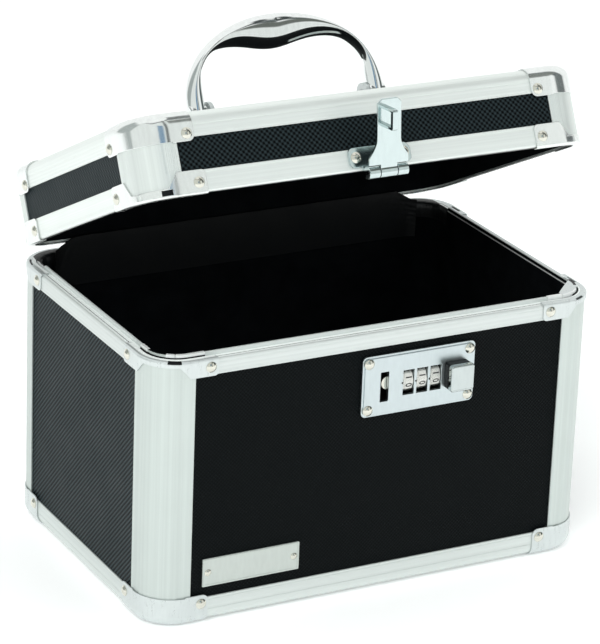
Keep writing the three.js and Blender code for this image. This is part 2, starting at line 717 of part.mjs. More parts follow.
function lockHoles() {
  const neck = BOLT_TRAVEL + NECK_W + 4 * SLIDER_GAP;
  const at = BUTTON_X + BOLT_TRAVEL / 2;
  return [
    roundedShape(SLOT_W, SLOT_H, 0.4, SLOT_X, LOCK_Z - 0.9),
    roundedShape(neck, NECK_H + 4 * SLIDER_GAP, 0.4, at, LOCK_Z),
    ...dialCentres().map((x) =>
      roundedShape(DIAL_W + 2 * WINDOW_GAP, WINDOW_H, 0.4, x, LOCK_Z - 0.5),
    ),
  ];
}

function lockPlate() {
  const layer = (inset, depth) => {
    const shape = roundedShape(
      LOCK_W - 2 * inset,
      LOCK_H - 2 * inset,
      LOCK_R - inset / 2,
      LOCK_X,
      LOCK_Z,
    );
    shape.holes = lockHoles();
    return frontPlate(shape, -HALF_D, depth);
  };
  const heads = [-1, 1].flatMap((sx) =>
    [-1, 1].map((sz) =>
      rivet(
        [LOCK_X + sx * LOCK_RIVET_X, PLATE_FACE, LOCK_Z + sz * LOCK_RIVET_Z],
        [0, -1, 0],
      ),
    ),
  );
  return join(layer(0, LOCK_T - LOCK_STEP), layer(LOCK_FIELD, LOCK_T), ...heads);
}

// The ribs that carry the dial spindle stand behind the slider.
const ribCentres = () => {
  const dials = dialCentres();
  const off = DIAL_W / 2 + 3 * WINDOW_GAP + HOUSE_T / 2;
  return [dials[0] - off, dials.at(-1) + off];
};

function lockHousing() {
  const h = lockHouse();
  const t = HOUSE_T;
  const z = LOCK_Z - 0.5;
  const shell = cut(
    box(h.x0, h.x1, h.y0, h.y1, h.z0, h.z1),
    box(h.x0 + t, h.x1 - t, h.y0 - 1, h.y1 - t, h.z0 + t, h.z1 - t),
  );
  const ribs = ribCentres().map((x) =>
    box(x - t / 2, x + t / 2, DIAL_Y - SPINDLE_R - 0.7, h.y1 - t / 2, h.z0 + t / 2, z + 5),
  );
  const [a, b] = ribCentres();
  return cut(join(shell, ...ribs), bore(SPINDLE_R, a - t, b + t, DIAL_Y, z));
}

const dialSpindle = () => {
  const [a, b] = ribCentres();
  return rod(SPINDLE_R, a - HOUSE_T / 2, b + HOUSE_T / 2, DIAL_Y, LOCK_Z - 0.5);
};

function dial(x) {
  const [x0, x1] = [x - DIAL_W / 2, x + DIAL_W / 2];
  const drum = new THREE.CylinderGeometry(DIAL_R, DIAL_R, DIAL_W, DIAL_FACES)
    .rotateY(Math.PI / DIAL_FACES)
    .rotateZ(Math.PI / 2)
    .rotateX(Math.PI / 2 + rad(DIAL_TURN))
    .translate(x, DIAL_Y, LOCK_Z - 0.5);
  return cut(solid(drum), bore(SPINDLE_R, x0 - 1, x1 + 1, DIAL_Y, LOCK_Z - 0.5));
}

// The bolt, its bridge over the dials, the neck through the plate and the button: one piece.
function lockSlider() {
  const y0 = -HALF_D + SLIDER_GAP;
  const tip = SLOT_X + SLOT_W / 2 - BOLT_OUT;
  const half = BOLT_H / 2;
  const top = lockHouse().z1 - HOUSE_T - SLIDER_GAP;
  const limb = tip + half + 2.6;
  const end = BUTTON_X + NECK_W / 2 + 0.6;
  const bolt = shapeOf([
    ...arc(tip + half, LOCK_Z, half, 270, 90, 6),
    [limb, LOCK_Z + half],
    [limb, LOCK_Z - half],
  ]);
  const bridge = shapeOf([
    [limb - 2.8, LOCK_Z - half],
    [limb, LOCK_Z - half],
    [limb, top - BRIDGE_H],
    [end - 7, top - BRIDGE_H],
    [end - 7, LOCK_Z - NECK_H / 2 - 1],
    [end, LOCK_Z - NECK_H / 2 - 1],
    [end, top],
    [limb - 2.8, top],
  ]);
  const neck = box(
    BUTTON_X - NECK_W / 2,
    BUTTON_X + NECK_W / 2,
    PLATE_FACE - SLIDER_GAP - 1,
    y0 + SLIDER_T / 2,
    LOCK_Z - NECK_H / 2,
    LOCK_Z + NECK_H / 2,
  );
  const b = BUTTON_BEVEL;
  const face = roundedShape(BUTTON_W - 2 * b, BUTTON_H - 2 * b, 0.8, BUTTON_X, LOCK_Z);
  const button = frontPlate(face, PLATE_FACE - SLIDER_GAP - b, BUTTON_OUT - 2 * b, {
    bevelEnabled: true,
    bevelThickness: b,
    bevelSize: b,
    bevelSegments: 2,
    curveSegments: 2,
  });
  const sheet = [bolt, bridge].map((s) => frontPlate(s, y0 + SLIDER_T, SLIDER_T));
  return join(...sheet, neck, button);
}

function nameplate() {
  const plate = roundedShape(NAME_W, NAME_H, 0.6, NAME_X, NAME_Z);
  const heads = [-1, 1].map((s) =>
    rivet([NAME_X + s * NAME_RIVET, -HALF_D - NAME_T, NAME_Z], [0, -1, 0], NAME_RIVET_R, 0.9),
  );
  return join(frontPlate(plate, -HALF_D, NAME_T), ...heads);
}

// The hasp's mounting plate with its two outer knuckles and the pin, in closed-lid positions.
function haspMount() {
  const y = -HALF_D - CAP_FACE;
  const z0 = LID_LOW + MOUNT_LOW;
  const plate = roundedShape(MOUNT_W, MOUNT_H, MOUNT_R, HASP_X, z0 + MOUNT_H / 2);
  const half = HASP_BARREL / 2;
  const gap = HASP_MIDDLE / 2 + KNUCKLE_GAP;
  const runs = [
    [HASP_X - half, HASP_X - gap],
    [HASP_X + gap, HASP_X + half],
  ];
  const back = HASP_Y + HASP_KNUCKLE;
  const knuckles = runs.flatMap(([a, b]) => [
    rod(HASP_KNUCKLE, a, b, HASP_Y, HASP_Z, 14),
    box(a, b, back - KNUCKLE_ROOT, y - LEAF_T / 3, HASP_Z, z0 + LEAF_T),
  ]);
  const heads = [-1, 1].map((s) =>
    rivet([HASP_X + s * MOUNT_RIVET, y - LEAF_T, z0 + MOUNT_H / 2], [0, -1, 0]),
  );
  const reach = half - PIN_SHORT;
  const pin = rod(HASP_PIN, HASP_X - reach, HASP_X + reach, HASP_Y, HASP_Z);
  return join(frontPlate(plate, y, LEAF_T), ...knuckles, ...heads, pin);
}

// The hasp's arm about its own pin, hanging down with the staple pointing back.
function haspArm() {
  const staple = HASP_Z - LOCK_Z;
  const outline = [
    [HASP_BARREL / 2, HASP_KNUCKLE + FOOT_CLEAR],
    [HASP_BARREL / 2, ARM_FOOT],
    [ARM_W / 2 + FOOT_STEP, (ARM_FOOT + ARM_NECK) / 2],
    [ARM_W / 2, ARM_NECK],
    [ARM_W / 2, ARM_L - ARM_CHAMFER],
    [ARM_W / 2 - ARM_CHAMFER, ARM_L],
  ].map(([x, r]) => [x, -r]);
  const shape = shapeOf([...outline, ...outline.toReversed().map(([x, z]) => [-x, z])]);
  const sheet = frontPlate(shape, ARM_FACE, ARM_T).translate([HASP_X, 0, 0]);
  const half = HASP_MIDDLE / 2;
  const [x0, x1] = [HASP_X - half, HASP_X + half];
  const strap = box(x0, x1, ARM_FACE - ARM_T, ARM_FACE, -HASP_KNUCKLE - STRAP_REACH, 0);
  const [y0, y1] = [ARM_FACE - KNUCKLE_ROOT, ARM_FACE + STAPLE_OUT];
  const [z0, z1] = [-staple - STAPLE_H / 2, -staple + STAPLE_H / 2];
  const loop = shapeOf([
    [y0, z0],
    [y1 - STAPLE_CUT, z0],
    [y1, z0 + STAPLE_CUT],
    [y1, z1 - STAPLE_CUT],
    [y1 - STAPLE_CUT, z1],
    [y0, z1],
    [y0, z1 - STAPLE_LEG],
    [y1 - STAPLE_BAR, z1 - STAPLE_LEG],
    [y1 - STAPLE_BAR, z0 + STAPLE_LEG],
    [y0, z0 + STAPLE_LEG],
  ]);
  const ring = sidePlate(loop, SLOT_X - STAPLE_W / 2, SLOT_X + STAPLE_W / 2);
  const arm = join(sheet, strap, rod(HASP_KNUCKLE, x0, x1, 0, 0, 14), ring);
  return cut(arm, bore(HASP_PIN, x0 - 1, x1 + 1, 0, 0));
}

// A point on one of the handle's two arched outlines. t runs from 0 at the right foot to 1.
function archPoint([half, height, power], t, belly = 0) {
  const [c, s] = [Math.cos(Math.PI * t), Math.sin(Math.PI * t)];
  const x = Math.sign(c) * half * Math.abs(c) ** (2 / power);
  const z = height * Math.abs(s) ** (2 / power);
  return [x, z - belly * Math.exp(-((x / BELLY_W) ** 2))];
}

// The handle about its own pin, upright: a section between the two arches, and a foot each side.
function handle() {
  const [rings, sides] = [30, 12];
  const points = [];
  for (let i = 0; i <= rings; i++) {
    const t = i / rings;
    const [ox, oz] = archPoint(HANDLE_OUTER, t);
    const [ix, iz] = archPoint(HANDLE_INNER, t, BELLY);
    const grip = Math.sin(Math.PI * t) ** 2;
    const b = (HANDLE_FOOT + (HANDLE_DEPTH - HANDLE_FOOT) * grip) / 2;
    for (let k = 0; k < sides; k++) {
      const a = (2 * Math.PI * k) / sides;
      const u = (1 + Math.cos(a)) / 2;
      points.push([ix + (ox - ix) * u, b * Math.sin(a), iz + (oz - iz) * u]);
    }
  }
  const faces = [];
  for (let i = 0; i < rings; i++)
    for (let k = 0; k < sides; k++) {
      const [a, b] = [i * sides + k, i * sides + ((k + 1) % sides)];
      faces.push(a, b, a + sides, b, b + sides, a + sides);
    }
  for (let k = 1; k < sides - 1; k++)
    faces.push(0, k + 1, k, rings * sides, rings * sides + k, rings * sides + k + 1);
  const geometry = new THREE.BufferGeometry();
  geometry.setAttribute("position", new THREE.Float32BufferAttribute(points.flat(), 3));
  const bar = solid(geometry.setIndex(faces));
  const [outer, inner] = [HANDLE_OUTER[0], HANDLE_INNER[0]];
  const pin = inner - EAR_GAP - EAR_T - 1.2;
  const feet = [-1, 1].flatMap((s) => {
    const along = (a, b) => [Math.min(s * a, s * b), Math.max(s * a, s * b)];
    return [
      rod(HANDLE_FOOT / 2, ...along(inner + 0.3, outer - 0.3), 0, 0, 14),
      rod(HANDLE_PIN, ...along(pin, inner + 1), 0, 0, 14),
    ];
  });
  return join(bar, ...feet).translate([HANDLE_X, 0, 0]);
}

// A handle bracket: a foot plate on the lid and an ear that the handle's pin turns in.
function bracket(s) {
  const x1 = HANDLE_INNER[0] - EAR_GAP;
  const z0 = LID_FACE + SEAT;
  const ear = shapeOf([
    [-EAR_R - 1.5, z0],
    [EAR_R + 1.5, z0],
    ...arc(0, HANDLE_Z, EAR_R, 0, 180, 8),
  ]);
  const plate = roundedShape(BRACKET_IN, BRACKET_D, 1.5, x1 - BRACKET_IN / 2, 0);
  const made = join(
    sidePlate(ear, x1 - EAR_T, x1),
    floorPlate(plate, z0, BRACKET_T),
    rivet([x1 - BRACKET_IN * 0.62, 0, z0 + BRACKET_T], [0, 0, 1], 2.2, 1),
  );
  const open = cut(made, bore(HANDLE_PIN, x1 - EAR_T - 1, x1 + 1, 0, HANDLE_Z, 14));
  return (s < 0 ? open.rotate([0, 0, 180]) : open).translate([HANDLE_X, 0, 0]);
}

const safe = new THREE.Group();
safe.add(...caseMeshes());
safe.add(
  mesh("lock_plate", lockPlate(), CHROME),
  mesh("lock_housing", lockHousing(), HOUSING),
  mesh("dial_spindle", dialSpindle(), STEEL),
  mesh("lock_slider", lockSlider(), CHROME),
  ...dialCentres().map((x, i) => mesh("dial_" + (i + 1), dial(x), DIAL)),
  mesh("nameplate", nameplate(), SATIN),
  mesh("hinge_left_case", hingeLeaf(-HINGE_X, -1, HINGE_DOWN), STEEL),
  mesh("hinge_right_case", hingeLeaf(HINGE_X, -1, HINGE_DOWN), STEEL),
);

// Everything on the lid turns about the back hinges.
const lid = new THREE.Group();
lid.position.set(0, HALF_D + HINGE_OUT, LID_LOW + HINGE_RISE);
lid.rotation.x = -rad(LID_OPEN);
const closed = new THREE.Group();
closed.position.copy(lid.position).negate();
closed.add(
  ...lidMeshes(),
  mesh("hinge_left_lid", hingeLeaf(-HINGE_X, 1, HINGE_UP), STEEL),
  mesh("hinge_right_lid", hingeLeaf(HINGE_X, 1, HINGE_UP), STEEL),
  mesh("hasp_mount", haspMount(), CHROME),
  mesh("handle_bracket_left", bracket(-1), CHROME),
  mesh("handle_bracket_right", bracket(1), CHROME),
);
const grip = mesh("handle", handle(), CHROME);
grip.position.z = HANDLE_Z;
const arm = mesh("hasp_arm", haspArm(), CHROME);
arm.position.set(0, HASP_Y, HASP_Z);
arm.rotation.x = -rad(180 - HASP_LEAN);
closed.add(grip, arm);
lid.add(closed);
safe.add(lid);

export default safe;
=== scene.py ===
from math import acos, asin, copysign, cos, exp, pi, sin, sqrt, radians as rad

import bmesh
import bpy
from mathutils import Matrix, Vector
from mathutils.geometry import tessellate_polygon


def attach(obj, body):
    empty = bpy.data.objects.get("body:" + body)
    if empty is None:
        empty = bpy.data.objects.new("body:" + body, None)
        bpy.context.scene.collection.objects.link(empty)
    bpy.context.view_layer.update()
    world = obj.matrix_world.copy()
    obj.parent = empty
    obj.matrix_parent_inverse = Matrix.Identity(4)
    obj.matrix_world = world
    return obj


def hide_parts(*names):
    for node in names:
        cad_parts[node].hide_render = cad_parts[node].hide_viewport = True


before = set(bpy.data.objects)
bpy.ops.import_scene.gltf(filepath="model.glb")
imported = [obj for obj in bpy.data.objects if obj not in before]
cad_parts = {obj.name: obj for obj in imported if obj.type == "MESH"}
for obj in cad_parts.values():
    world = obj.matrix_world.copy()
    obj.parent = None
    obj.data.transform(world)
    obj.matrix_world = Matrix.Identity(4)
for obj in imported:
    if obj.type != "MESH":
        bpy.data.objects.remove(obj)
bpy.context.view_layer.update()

MM = 0.001
HALF_W, HALF_D, CORNER_R = 130, 87, 20
WALL, LID_WALL, LID_BOARD = 5, 2.8, 4
PANEL_LOW, PANEL_TOP, RIM_TOP, RIM_H = 14.8, 138.6, 147, 8.4
TONGUE_H, TONGUE_T, TONGUE_STOP = 2.2, 1.2, 6
LID_LOW, LID_RIM_H, STRIP_LOW, STRIP_TOP = 148.8, 11.4, 160.2, 177
LID_TOP, LID_TOP_H, LID_OPEN = 190.3, 13.3, 26.6
TRIM_T, CAP_T, SEAT = 0.8, 0.7, 0.1
EDGE_R, RIM_R, FLANGE = 6, 1.4, 11
POST_REACH, POST_INSET = 22.2, 2.5
BASE_Z, CAP_FACE, CAP_OUT = 0.8, 0.9, 1.6
CAP_LEG, RIM_CAP_LEG, CAP_OVER, CAP_IN = 32, 34.5, 2, 10
LIP_H, LIP_FRONT, LIP_LEFT, LEG_OPEN, LEG_CUT = 2.6, 9, 6, 14, 18.4
RIVET_R, RIVET_H, CAP_RIVET, RIM_CAP_RIVET, RIVET_EDGE = 2.9, 1.5, 28, 30.2, 12
LOCK_X, LOCK_Z, LOCK_W, LOCK_H, LOCK_T = 20.9, 117.5, 67, 33.8, 2.2
PLATE_FACE = -HALF_D - LOCK_T
LOCK_RIVET_X, LOCK_RIVET_Z, WINDOW_W, WINDOW_H = 29.9, 12.9, 6.5, 13.8
SLOT_X, SLOT_W, SLOT_H, DIAL_X, DIAL_PITCH, BUTTON_X = 0.4, 4.8, 16.4, 14.7, 8.1, 43
DIAL_R, DIAL_Y, DIAL_Z, DIAL_TURN, DIAL_STEP, DIGIT_SIZE = 7.2, -81.952, 117, 16, 36, 5.1
BOLT_TRAVEL, BOLT_OVER, BOLT_H, NECK_W, NECK_H, BRIDGE_DROP = 3.4, 3, 7.4, 4.6, 8.4, 4.9
HASP_X, HASP_Y, HASP_Z, HASP_LEAN = 2.6, -93, 146.7, 22.3
HASP_KNUCKLE, HASP_PIN, HASP_BARREL, HASP_MIDDLE = 3.6, 1.3, 22.6, 9.6
HASP_PLATE_W, HASP_PLATE_H, HASP_PLATE_T, HASP_RIVET = 36, 10.4, 1.2, 13.9
STAPLE_REACH, STAPLE_HALF, STAPLE_T = 10, 5.45, 3
ARM_T, ARM_FACE, ARM_L, ARM_W, ARM_FOOT, ARM_NECK = 1.4, 2.6, 38.5, 13.8, 8.2, 17
HANDLE_X, HANDLE_Z = 0.9, 198.3
HINGE_X, HINGE_Y, HINGE_Z, HINGE_W, HINGE_KNUCKLE, LEAF_T = 74, 92, 153.8, 36, 3.4, 1.2
NAME_X, NAME_Z, NAME_W, NAME_H, NAME_T, NAME_RIVET = -73.2, 28.6, 56, 15.7, 0.8, 24.9
LINING_T, COVER_T, COVER_UP, COVER_DOWN, COVER_DIP, CREASED = 1.2, 1, 9, 19, 5.6, 30
CHANNEL = (2.2, 4.5)  # the groove along the case's rim, from its outer face
CAP_GAP = 0.9  # gap between a rim cap's top and its lip, where a black strip paints a shadow line
POST_OVER = 5  # how far a post's skin and a rim's ring run on past the corner's round
LID_RING = 4.2  # height of the lid cap's ring, from the lid's lower edge
WELD = 2e-7  # metres
BR, BL, FL, FR = range(4)  # the upright corners in quarter turns, from the back right
CORNERS = {"br": BR, "bl": BL, "fl": FL, "fr": FR}
LEFT = (BL, FL)
SIDES = {-1: "left", 1: "right"}

HERE = Matrix.Identity(4)


def shift(x, y, z):
    return Matrix.Translation((x, y, z))


def turned(degrees, axis):
    return Matrix.Rotation(rad(degrees), 4, axis)


LID = shift(0, HINGE_Y, HINGE_Z) @ turned(-LID_OPEN, "X") @ shift(0, -HINGE_Y, -HINGE_Z)
ARM = LID @ shift(0, HASP_Y, HASP_Z) @ turned(HASP_LEAN - 180, "X")
GRIP = LID @ shift(HANDLE_X, 0, HANDLE_Z)


def put(name, data):
    """Makes an object and links it to the scene."""
    obj = bpy.data.objects.new(name, data)
    bpy.context.scene.collection.objects.link(obj)
    return obj


# Materials


class Tree:
    """A node tree under construction."""

    def __init__(self, tree):
        self.tree, self.nodes = tree, tree.nodes

    def add(self, kind, **props):
        node = self.nodes.new(kind)
        for key, value in props.items():
            setattr(node, key, value)
        return node

    def set(self, node, key, value):
        node.inputs[key].default_value = value

    def link(self, a, b):
        self.tree.links.new(a, b)

    def feed(self, value, socket):
        """Sets a number or a colour, or links another node's output."""
        if isinstance(value, (int, float)):
            socket.default_value = value
        elif isinstance(value, tuple):
            socket.default_value = (*value, 1)
        else:
            self.link(value, socket)

    def math(self, op, a, b=0.0):
        node = self.add("ShaderNodeMath", operation=op)
        self.feed(a, node.inputs[0])
        self.feed(b, node.inputs[1])
        return node.outputs[0]

    def split(self, vector):
        node = self.add("ShaderNodeSeparateXYZ")
        self.link(vector, node.inputs[0])
        return node.outputs

    def mix(self, factor, a, b):
        node = self.add("ShaderNodeMix", data_type="RGBA")
        self.link(factor, node.inputs["Factor"])
        sockets = [s for s in node.inputs if s.type == "RGBA"]
        self.feed(a, sockets[0])
        self.feed(b, sockets[1])
        return [s for s in node.outputs if s.type == "RGBA"][0]


def scaled(color, factor):
    return tuple(v * factor for v in color)


class Look(Tree):
    """A material with the nodes that its looks share."""

    def __init__(self, name, color, rough, metal=0.0, **sockets):
        self.mat = bpy.data.materials.new(name)
        self.mat.use_nodes = True
        super().__init__(self.mat.node_tree)
        self.bsdf = self.nodes["Principled BSDF"]
        self.set(self.bsdf, "Base Color", (*color, 1))
        self.set(self.bsdf, "Roughness", rough)
        self.set(self.bsdf, "Metallic", metal)
        for key, value in sockets.items():
            self.set(self.bsdf, key.replace("_", " "), value)
        self.bumps = None

    def place(self, scale=(1, 1, 1), lid=False, attribute=None):
        """Millimetre coordinates of the piece. lid turns them back to the closed lid."""
        if attribute:
            out = self.add("ShaderNodeAttribute", attribute_name=attribute).outputs["Vector"]
        else:
            out = self.add("ShaderNodeTexCoord").outputs["Object"]
            if lid:
                spin = self.add("ShaderNodeVectorRotate", rotation_type="X_AXIS")
                self.set(spin, "Center", (0, HINGE_Y * MM, HINGE_Z * MM))
                self.set(spin, "Angle", rad(LID_OPEN))
                self.link(out, spin.inputs["Vector"])
                out = spin.outputs[0]
            grow = self.add("ShaderNodeVectorMath", operation="SCALE")
            self.link(out, grow.inputs[0])
            self.set(grow, "Scale", 1000)
            out = grow.outputs[0]
        times = self.add("ShaderNodeVectorMath", operation="MULTIPLY")
        self.link(out, times.inputs[0])
        times.inputs[1].default_value = scale
        return times.outputs[0]

    def noise(self, vector, scale, detail, rough=0.5):
        """Fractal noise, spread from its usual 0.3 to 0.7 over 0 to 1."""
        node = self.add("ShaderNodeTexNoise")
        self.link(vector, node.inputs["Vector"])
        self.set(node, "Scale", scale)
        self.set(node, "Detail", detail)
        self.set(node, "Roughness", rough)
        return self.ramp(node.outputs[0], 0.3, 0.7, 0, 1)

    def ramp(self, value, a, b, c, d):
        node = self.add("ShaderNodeMapRange")
        self.link(value, node.inputs["Value"])
        for key, v in zip(("From Min", "From Max", "To Min", "To Max"), (a, b, c, d)):
            self.set(node, key, v)
        return node.outputs[0]

    def color(self, factor, a, b):
        self.link(self.mix(factor, a, b), self.bsdf.inputs["Base Color"])

    def rough(self, value, a, b, c, d):
        self.link(self.ramp(value, a, b, c, d), self.bsdf.inputs["Roughness"])

    def bump(self, height, strength, distance):
        node = self.add("ShaderNodeBump")
        self.set(node, "Strength", strength)
        self.set(node, "Distance", distance * MM)
        self.link(height, node.inputs["Height"])
        if self.bumps:
            self.link(self.bumps, node.inputs["Normal"])
        self.bumps = node.outputs[0]
        self.link(self.bumps, self.bsdf.inputs["Normal"])


def laminate(name, across, lid=False, pitch=1.5, second=0.55, dark=0.002, light=0.009):
    """Black embossed laminate. Its ridges lie across the two axes that are named. Its colour
    follows the ridges: painted light and shade on their sides.
    """
    look = Look(name, (light,) * 3, 0.4, Specular_IOR_Level=0.05)
    place = look.place(lid=lid)
    x, z = [look.split(place)["XYZ".index(a)] for a in across]
    k = 2 * pi / (pitch * sqrt(2))
    up = look.math("SINE", look.math("MULTIPLY", look.math("ADD", x, z), k))
    down = look.math("SINE", look.math("MULTIPLY", look.math("SUBTRACT", x, z), k))
    cell = look.math("ADD", up, look.math("MULTIPLY", down, second))
    cell = look.math("DIVIDE", cell, 1 + second)
    grain = look.noise(place, 2.2, 3)
    wide = look.noise(place, 0.05, 2)
    height = look.math("ADD", cell, look.math("MULTIPLY", grain, 0.35))
    look.bump(height, 0.9, 0.16)
    # Painted light and shade: the colour runs from dark to light with the ridges' height.
    shade = look.ramp(look.math("ADD", cell, look.math("MULTIPLY", grain, 0.5)), -0.35, 1.2, 0, 1)
    tint = (0.54, 0.81, 0.9)
    look.color(shade, scaled(tint, dark), scaled(tint, light))
    look.rough(look.math("ADD", grain, wide), 0, 2, 0.34, 0.48)
    return look.mat


def satin(name, lines, tint, rough, metal=0.62):
    """Drawn aluminium with fine lines along the extrusion. lines scales the place across them."""
    look = Look(name, tint, rough, metal, Specular_IOR_Level=0.6)
    fine = look.noise(look.place(lines, attribute="cut"), 1.0, 4, 0.6)
    broad = look.noise(look.place(scaled(lines, 0.12), attribute="cut"), 1.0, 2)
    mottle = look.noise(look.place(attribute="cut"), 0.06, 3)
    look.bump(fine, 0.35, 0.012)
    both = look.math("ADD", look.math("MULTIPLY", fine, 0.4), look.math("MULTIPLY", broad, 0.6))
    look.color(both, scaled(tint, 0.9), tuple(min(1, v * 1.05) for v in tint))
    look.rough(look.math("ADD", fine, mottle), 0, 2, rough - 0.05, rough + 0.09)
    return look.mat


def chrome(name, tint, rough, wave=0.02, metal=1.0):
    """Bright plating over pressed sheet: slow waves, faint scratches and smears."""
    look = Look(name, tint, rough, metal, Specular_IOR_Level=0.6)
    place = look.place(attribute="cut")
    waves = look.noise(place, 0.11, 2)
    pits = look.noise(place, 3.0, 4)
    smear = look.noise(look.place((0.5, 0.5, 0.12), attribute="cut"), 1.0, 3)
    look.bump(waves, 0.5, wave)
    look.bump(pits, 0.2, min(0.004, wave * 0.4))
    look.color(smear, scaled(tint, 0.94), tint)
    look.rough(look.math("ADD", pits, smear), 0, 2, rough, rough + 0.07)
    return look.mat


def plain(name, color, rough, metal=0.0, grain=1.5, depth=0.01, vary=0.85, at="cut", gloss=0.5):
    """A moulded or painted finish with a fine grain."""
    look = Look(name, color, rough, metal, Specular_IOR_Level=gloss)
    place = look.place(attribute=at)
    fine = look.noise(place, grain, 4, 0.6)
    look.bump(fine, 0.4, depth)
    look.color(fine, scaled(color, vary), color)
    look.rough(fine, 0, 1, rough - 0.05, rough + 0.08)
    return look.mat


def felt(name):
    look = Look(name, (0.004, 0.004, 0.0045), 1.0, Specular_IOR_Level=0.02)
    place = look.place()
    fuzz = look.noise(place, 1.6, 5, 0.7)
    patch = look.noise(place, 0.08, 2)
    look.bump(fuzz, 0.8, 0.12)
    both = look.math("MULTIPLY", look.math("ADD", fuzz, patch), 0.5)
    look.color(both, (0.003, 0.0036, 0.0042), (0.009, 0.0105, 0.012))
    return look.mat


# The side and lid copies run to a lighter colour than the front's and the flats': painted light on
# the lit faces.
FRONT = laminate("laminate_front", "XZ", second=0.8)
SIDE = laminate("laminate_side_painted_lit", "YZ", pitch=2.0, second=0.12, dark=0.004, light=0.062)
FLAT = laminate("laminate_flat", "XY")
LID_FRONT = laminate("laminate_lid_front_painted_lit", "XZ", True, 2.1, 0.8, light=0.043)
LID_SIDE = laminate("laminate_lid_side_painted_lit", "YZ", True, 1.7, 0.9, 0.007, 0.062)
LID_FLAT = laminate("laminate_lid_flat", "XY", True)
# The lid's trim and posts are lighter copies of the case's aluminium: painted light.
TRIM = satin("aluminium_trim", (0.02, 0.02, 7), (0.7, 0.745, 0.725), 0.4)
POST = satin("aluminium_post", (5, 5, 0.02), (0.61, 0.665, 0.64), 0.42)
RIM = satin("aluminium_rim", (0.02, 0.02, 7), (0.66, 0.7, 0.685), 0.4, 0.2)
# A much lighter copy without metal, for thin strips on the rim's top: painted light.
RIM_PAINTED_LIT = satin("aluminium_rim_painted_lit", (0.02, 7, 0.02), (0.9, 0.94, 0.92), 0.4, 0.0)
LID_TRIM = satin("aluminium_lid_trim_painted_lit", (0.02, 0.02, 7), (0.85, 0.89, 0.865), 0.4)
LID_POST = satin("aluminium_lid_post_painted_lit", (5, 5, 0.02), (0.79, 0.835, 0.81), 0.42)
PLATE = chrome("nameplate_nickel", (0.6, 0.645, 0.61), 0.32, 0.003, 0.7)
# The lid's caps are lighter copies of the case's nickel: painted light.
CAP = chrome("cap_nickel", (0.66, 0.705, 0.7), 0.26, 0.003, metal=0.45)
LID_CAP = chrome("lid_cap_nickel_painted_lit", (0.86, 0.885, 0.87), 0.17, metal=0.8)
# A darker copy of the lip's nickel, for the middle of the front left lip: painted shade.
LIP_PAINTED_SHADE = chrome("lip_painted_shade", (0.62, 0.65, 0.64), 0.12)
TOP_CAP = chrome("top_cap_nickel_painted_lit", (0.88, 0.905, 0.895), 0.1, metal=0.92)
# A lighter copy of the caps' nickel for the lips: painted light.
LIP = chrome("lip_nickel_painted_lit", (0.86, 0.88, 0.87), 0.3, metal=0.25)
LOCK = chrome("lock_satin", (0.6, 0.665, 0.68), 0.28, 0.004)
MIRROR = chrome("lock_chrome", (0.57, 0.62, 0.615), 0.06, 0.006)
HASP = chrome("hasp_nickel", (0.62, 0.705, 0.705), 0.09, 0.09)
GRIP_CHROME = chrome("handle_chrome", (0.9, 0.92, 0.915), 0.04, 0.004)
RIVET = chrome("rivet_nickel", (0.74, 0.73, 0.65), 0.09, 0.004)
STEEL = chrome("hinge_steel", (0.78, 0.79, 0.79), 0.22)
FELT = felt("black_felt")
CLOTH = plain("cover_cloth", (0.0065, 0.0072, 0.008), 0.42, grain=0.9, depth=0.05)
# Black plastic, and black strips and sheets that paint shade in gaps and holes.
BLACK = plain("black_plastic_and_painted_shade", (0.006, 0.007, 0.008), 0.3, gloss=0.15)
# A dark finish for the rim's groove and openings: painted shade in recesses.
CHANNEL_PAINTED_SHADE = plain("rim_channel_painted_shade", (0.03, 0.034, 0.034), 0.6)
HOUSING = plain("housing_plastic", (0.03, 0.031, 0.033), 0.5, at=None)
DRUM = plain("dial_enamel", (0.74, 0.74, 0.7), 0.28, 0.35, 2.5, 0.006, 0.93)
INK = plain("digit_ink", (0.01, 0.01, 0.012), 0.4)


# Shapes. A shell is (corners, faces), and a Form collects shells with their looks.


class Form:
    """Shells with their looks, from which a piece is made."""

    def __init__(self):
        self.verts, self.faces, self.marks, self.looks = [], [], [], []

    def add(self, shell, look, place=HERE):
        verts, faces = shell
        if look not in self.looks:
            self.looks.append(look)
        start = len(self.verts)
        self.verts += [place @ Vector(v) for v in verts]
        self.faces += [[start + i for i in f] for f in faces]
        self.marks += [self.looks.index(look)] * len(faces)
        return self

    def rivets(self, places, normal=(0, -1, 0), size=(RIVET_R, RIVET_H)):
        """Adds a rivet's head at each place of a face."""
        for at in places:
            self.add(rivet(*size), RIVET, lie_on(at, normal))

    def piece(self, node, how, body, slot, place=None, sharp=34):
        """Makes the object that stands for a CAD node, and rides on its body."""
        place = place or (LID if body == "lid" else HERE)
        name = f"{node}_{how}"
        mesh = bpy.data.meshes.new(name)
        mesh.from_pydata([v * MM for v in self.verts], [], self.faces)
        for look in self.looks:
            mesh.materials.append(look)
        mesh.polygons.foreach_set("material_index", self.marks)
        bm = bmesh.new()
        bm.from_mesh(mesh)
        bmesh.ops.remove_doubles(bm, verts=bm.verts, dist=WELD)
        bmesh.ops.recalc_face_normals(bm, faces=bm.faces)
        bm.to_mesh(mesh)
        bm.free()
        cut = mesh.attributes.new("cut", "FLOAT_VECTOR", "POINT")
        cut.data.foreach_set("vector", [c / MM for v in mesh.vertices for c in v.co])
        scaled = Matrix.Scale(MM, 4) @ place @ Matrix.Scale(1 / MM, 4)
        mesh.transform(scaled)
        mesh.polygons.foreach_set("use_smooth", [True] * len(mesh.polygons))
        mesh.set_sharp_from_angle(angle=rad(sharp))
        obj = put(name, mesh)
        obj.modifiers.new("shade", "WEIGHTED_NORMAL").keep_sharp = True
        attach(obj, body)
        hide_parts(node)
        return obj


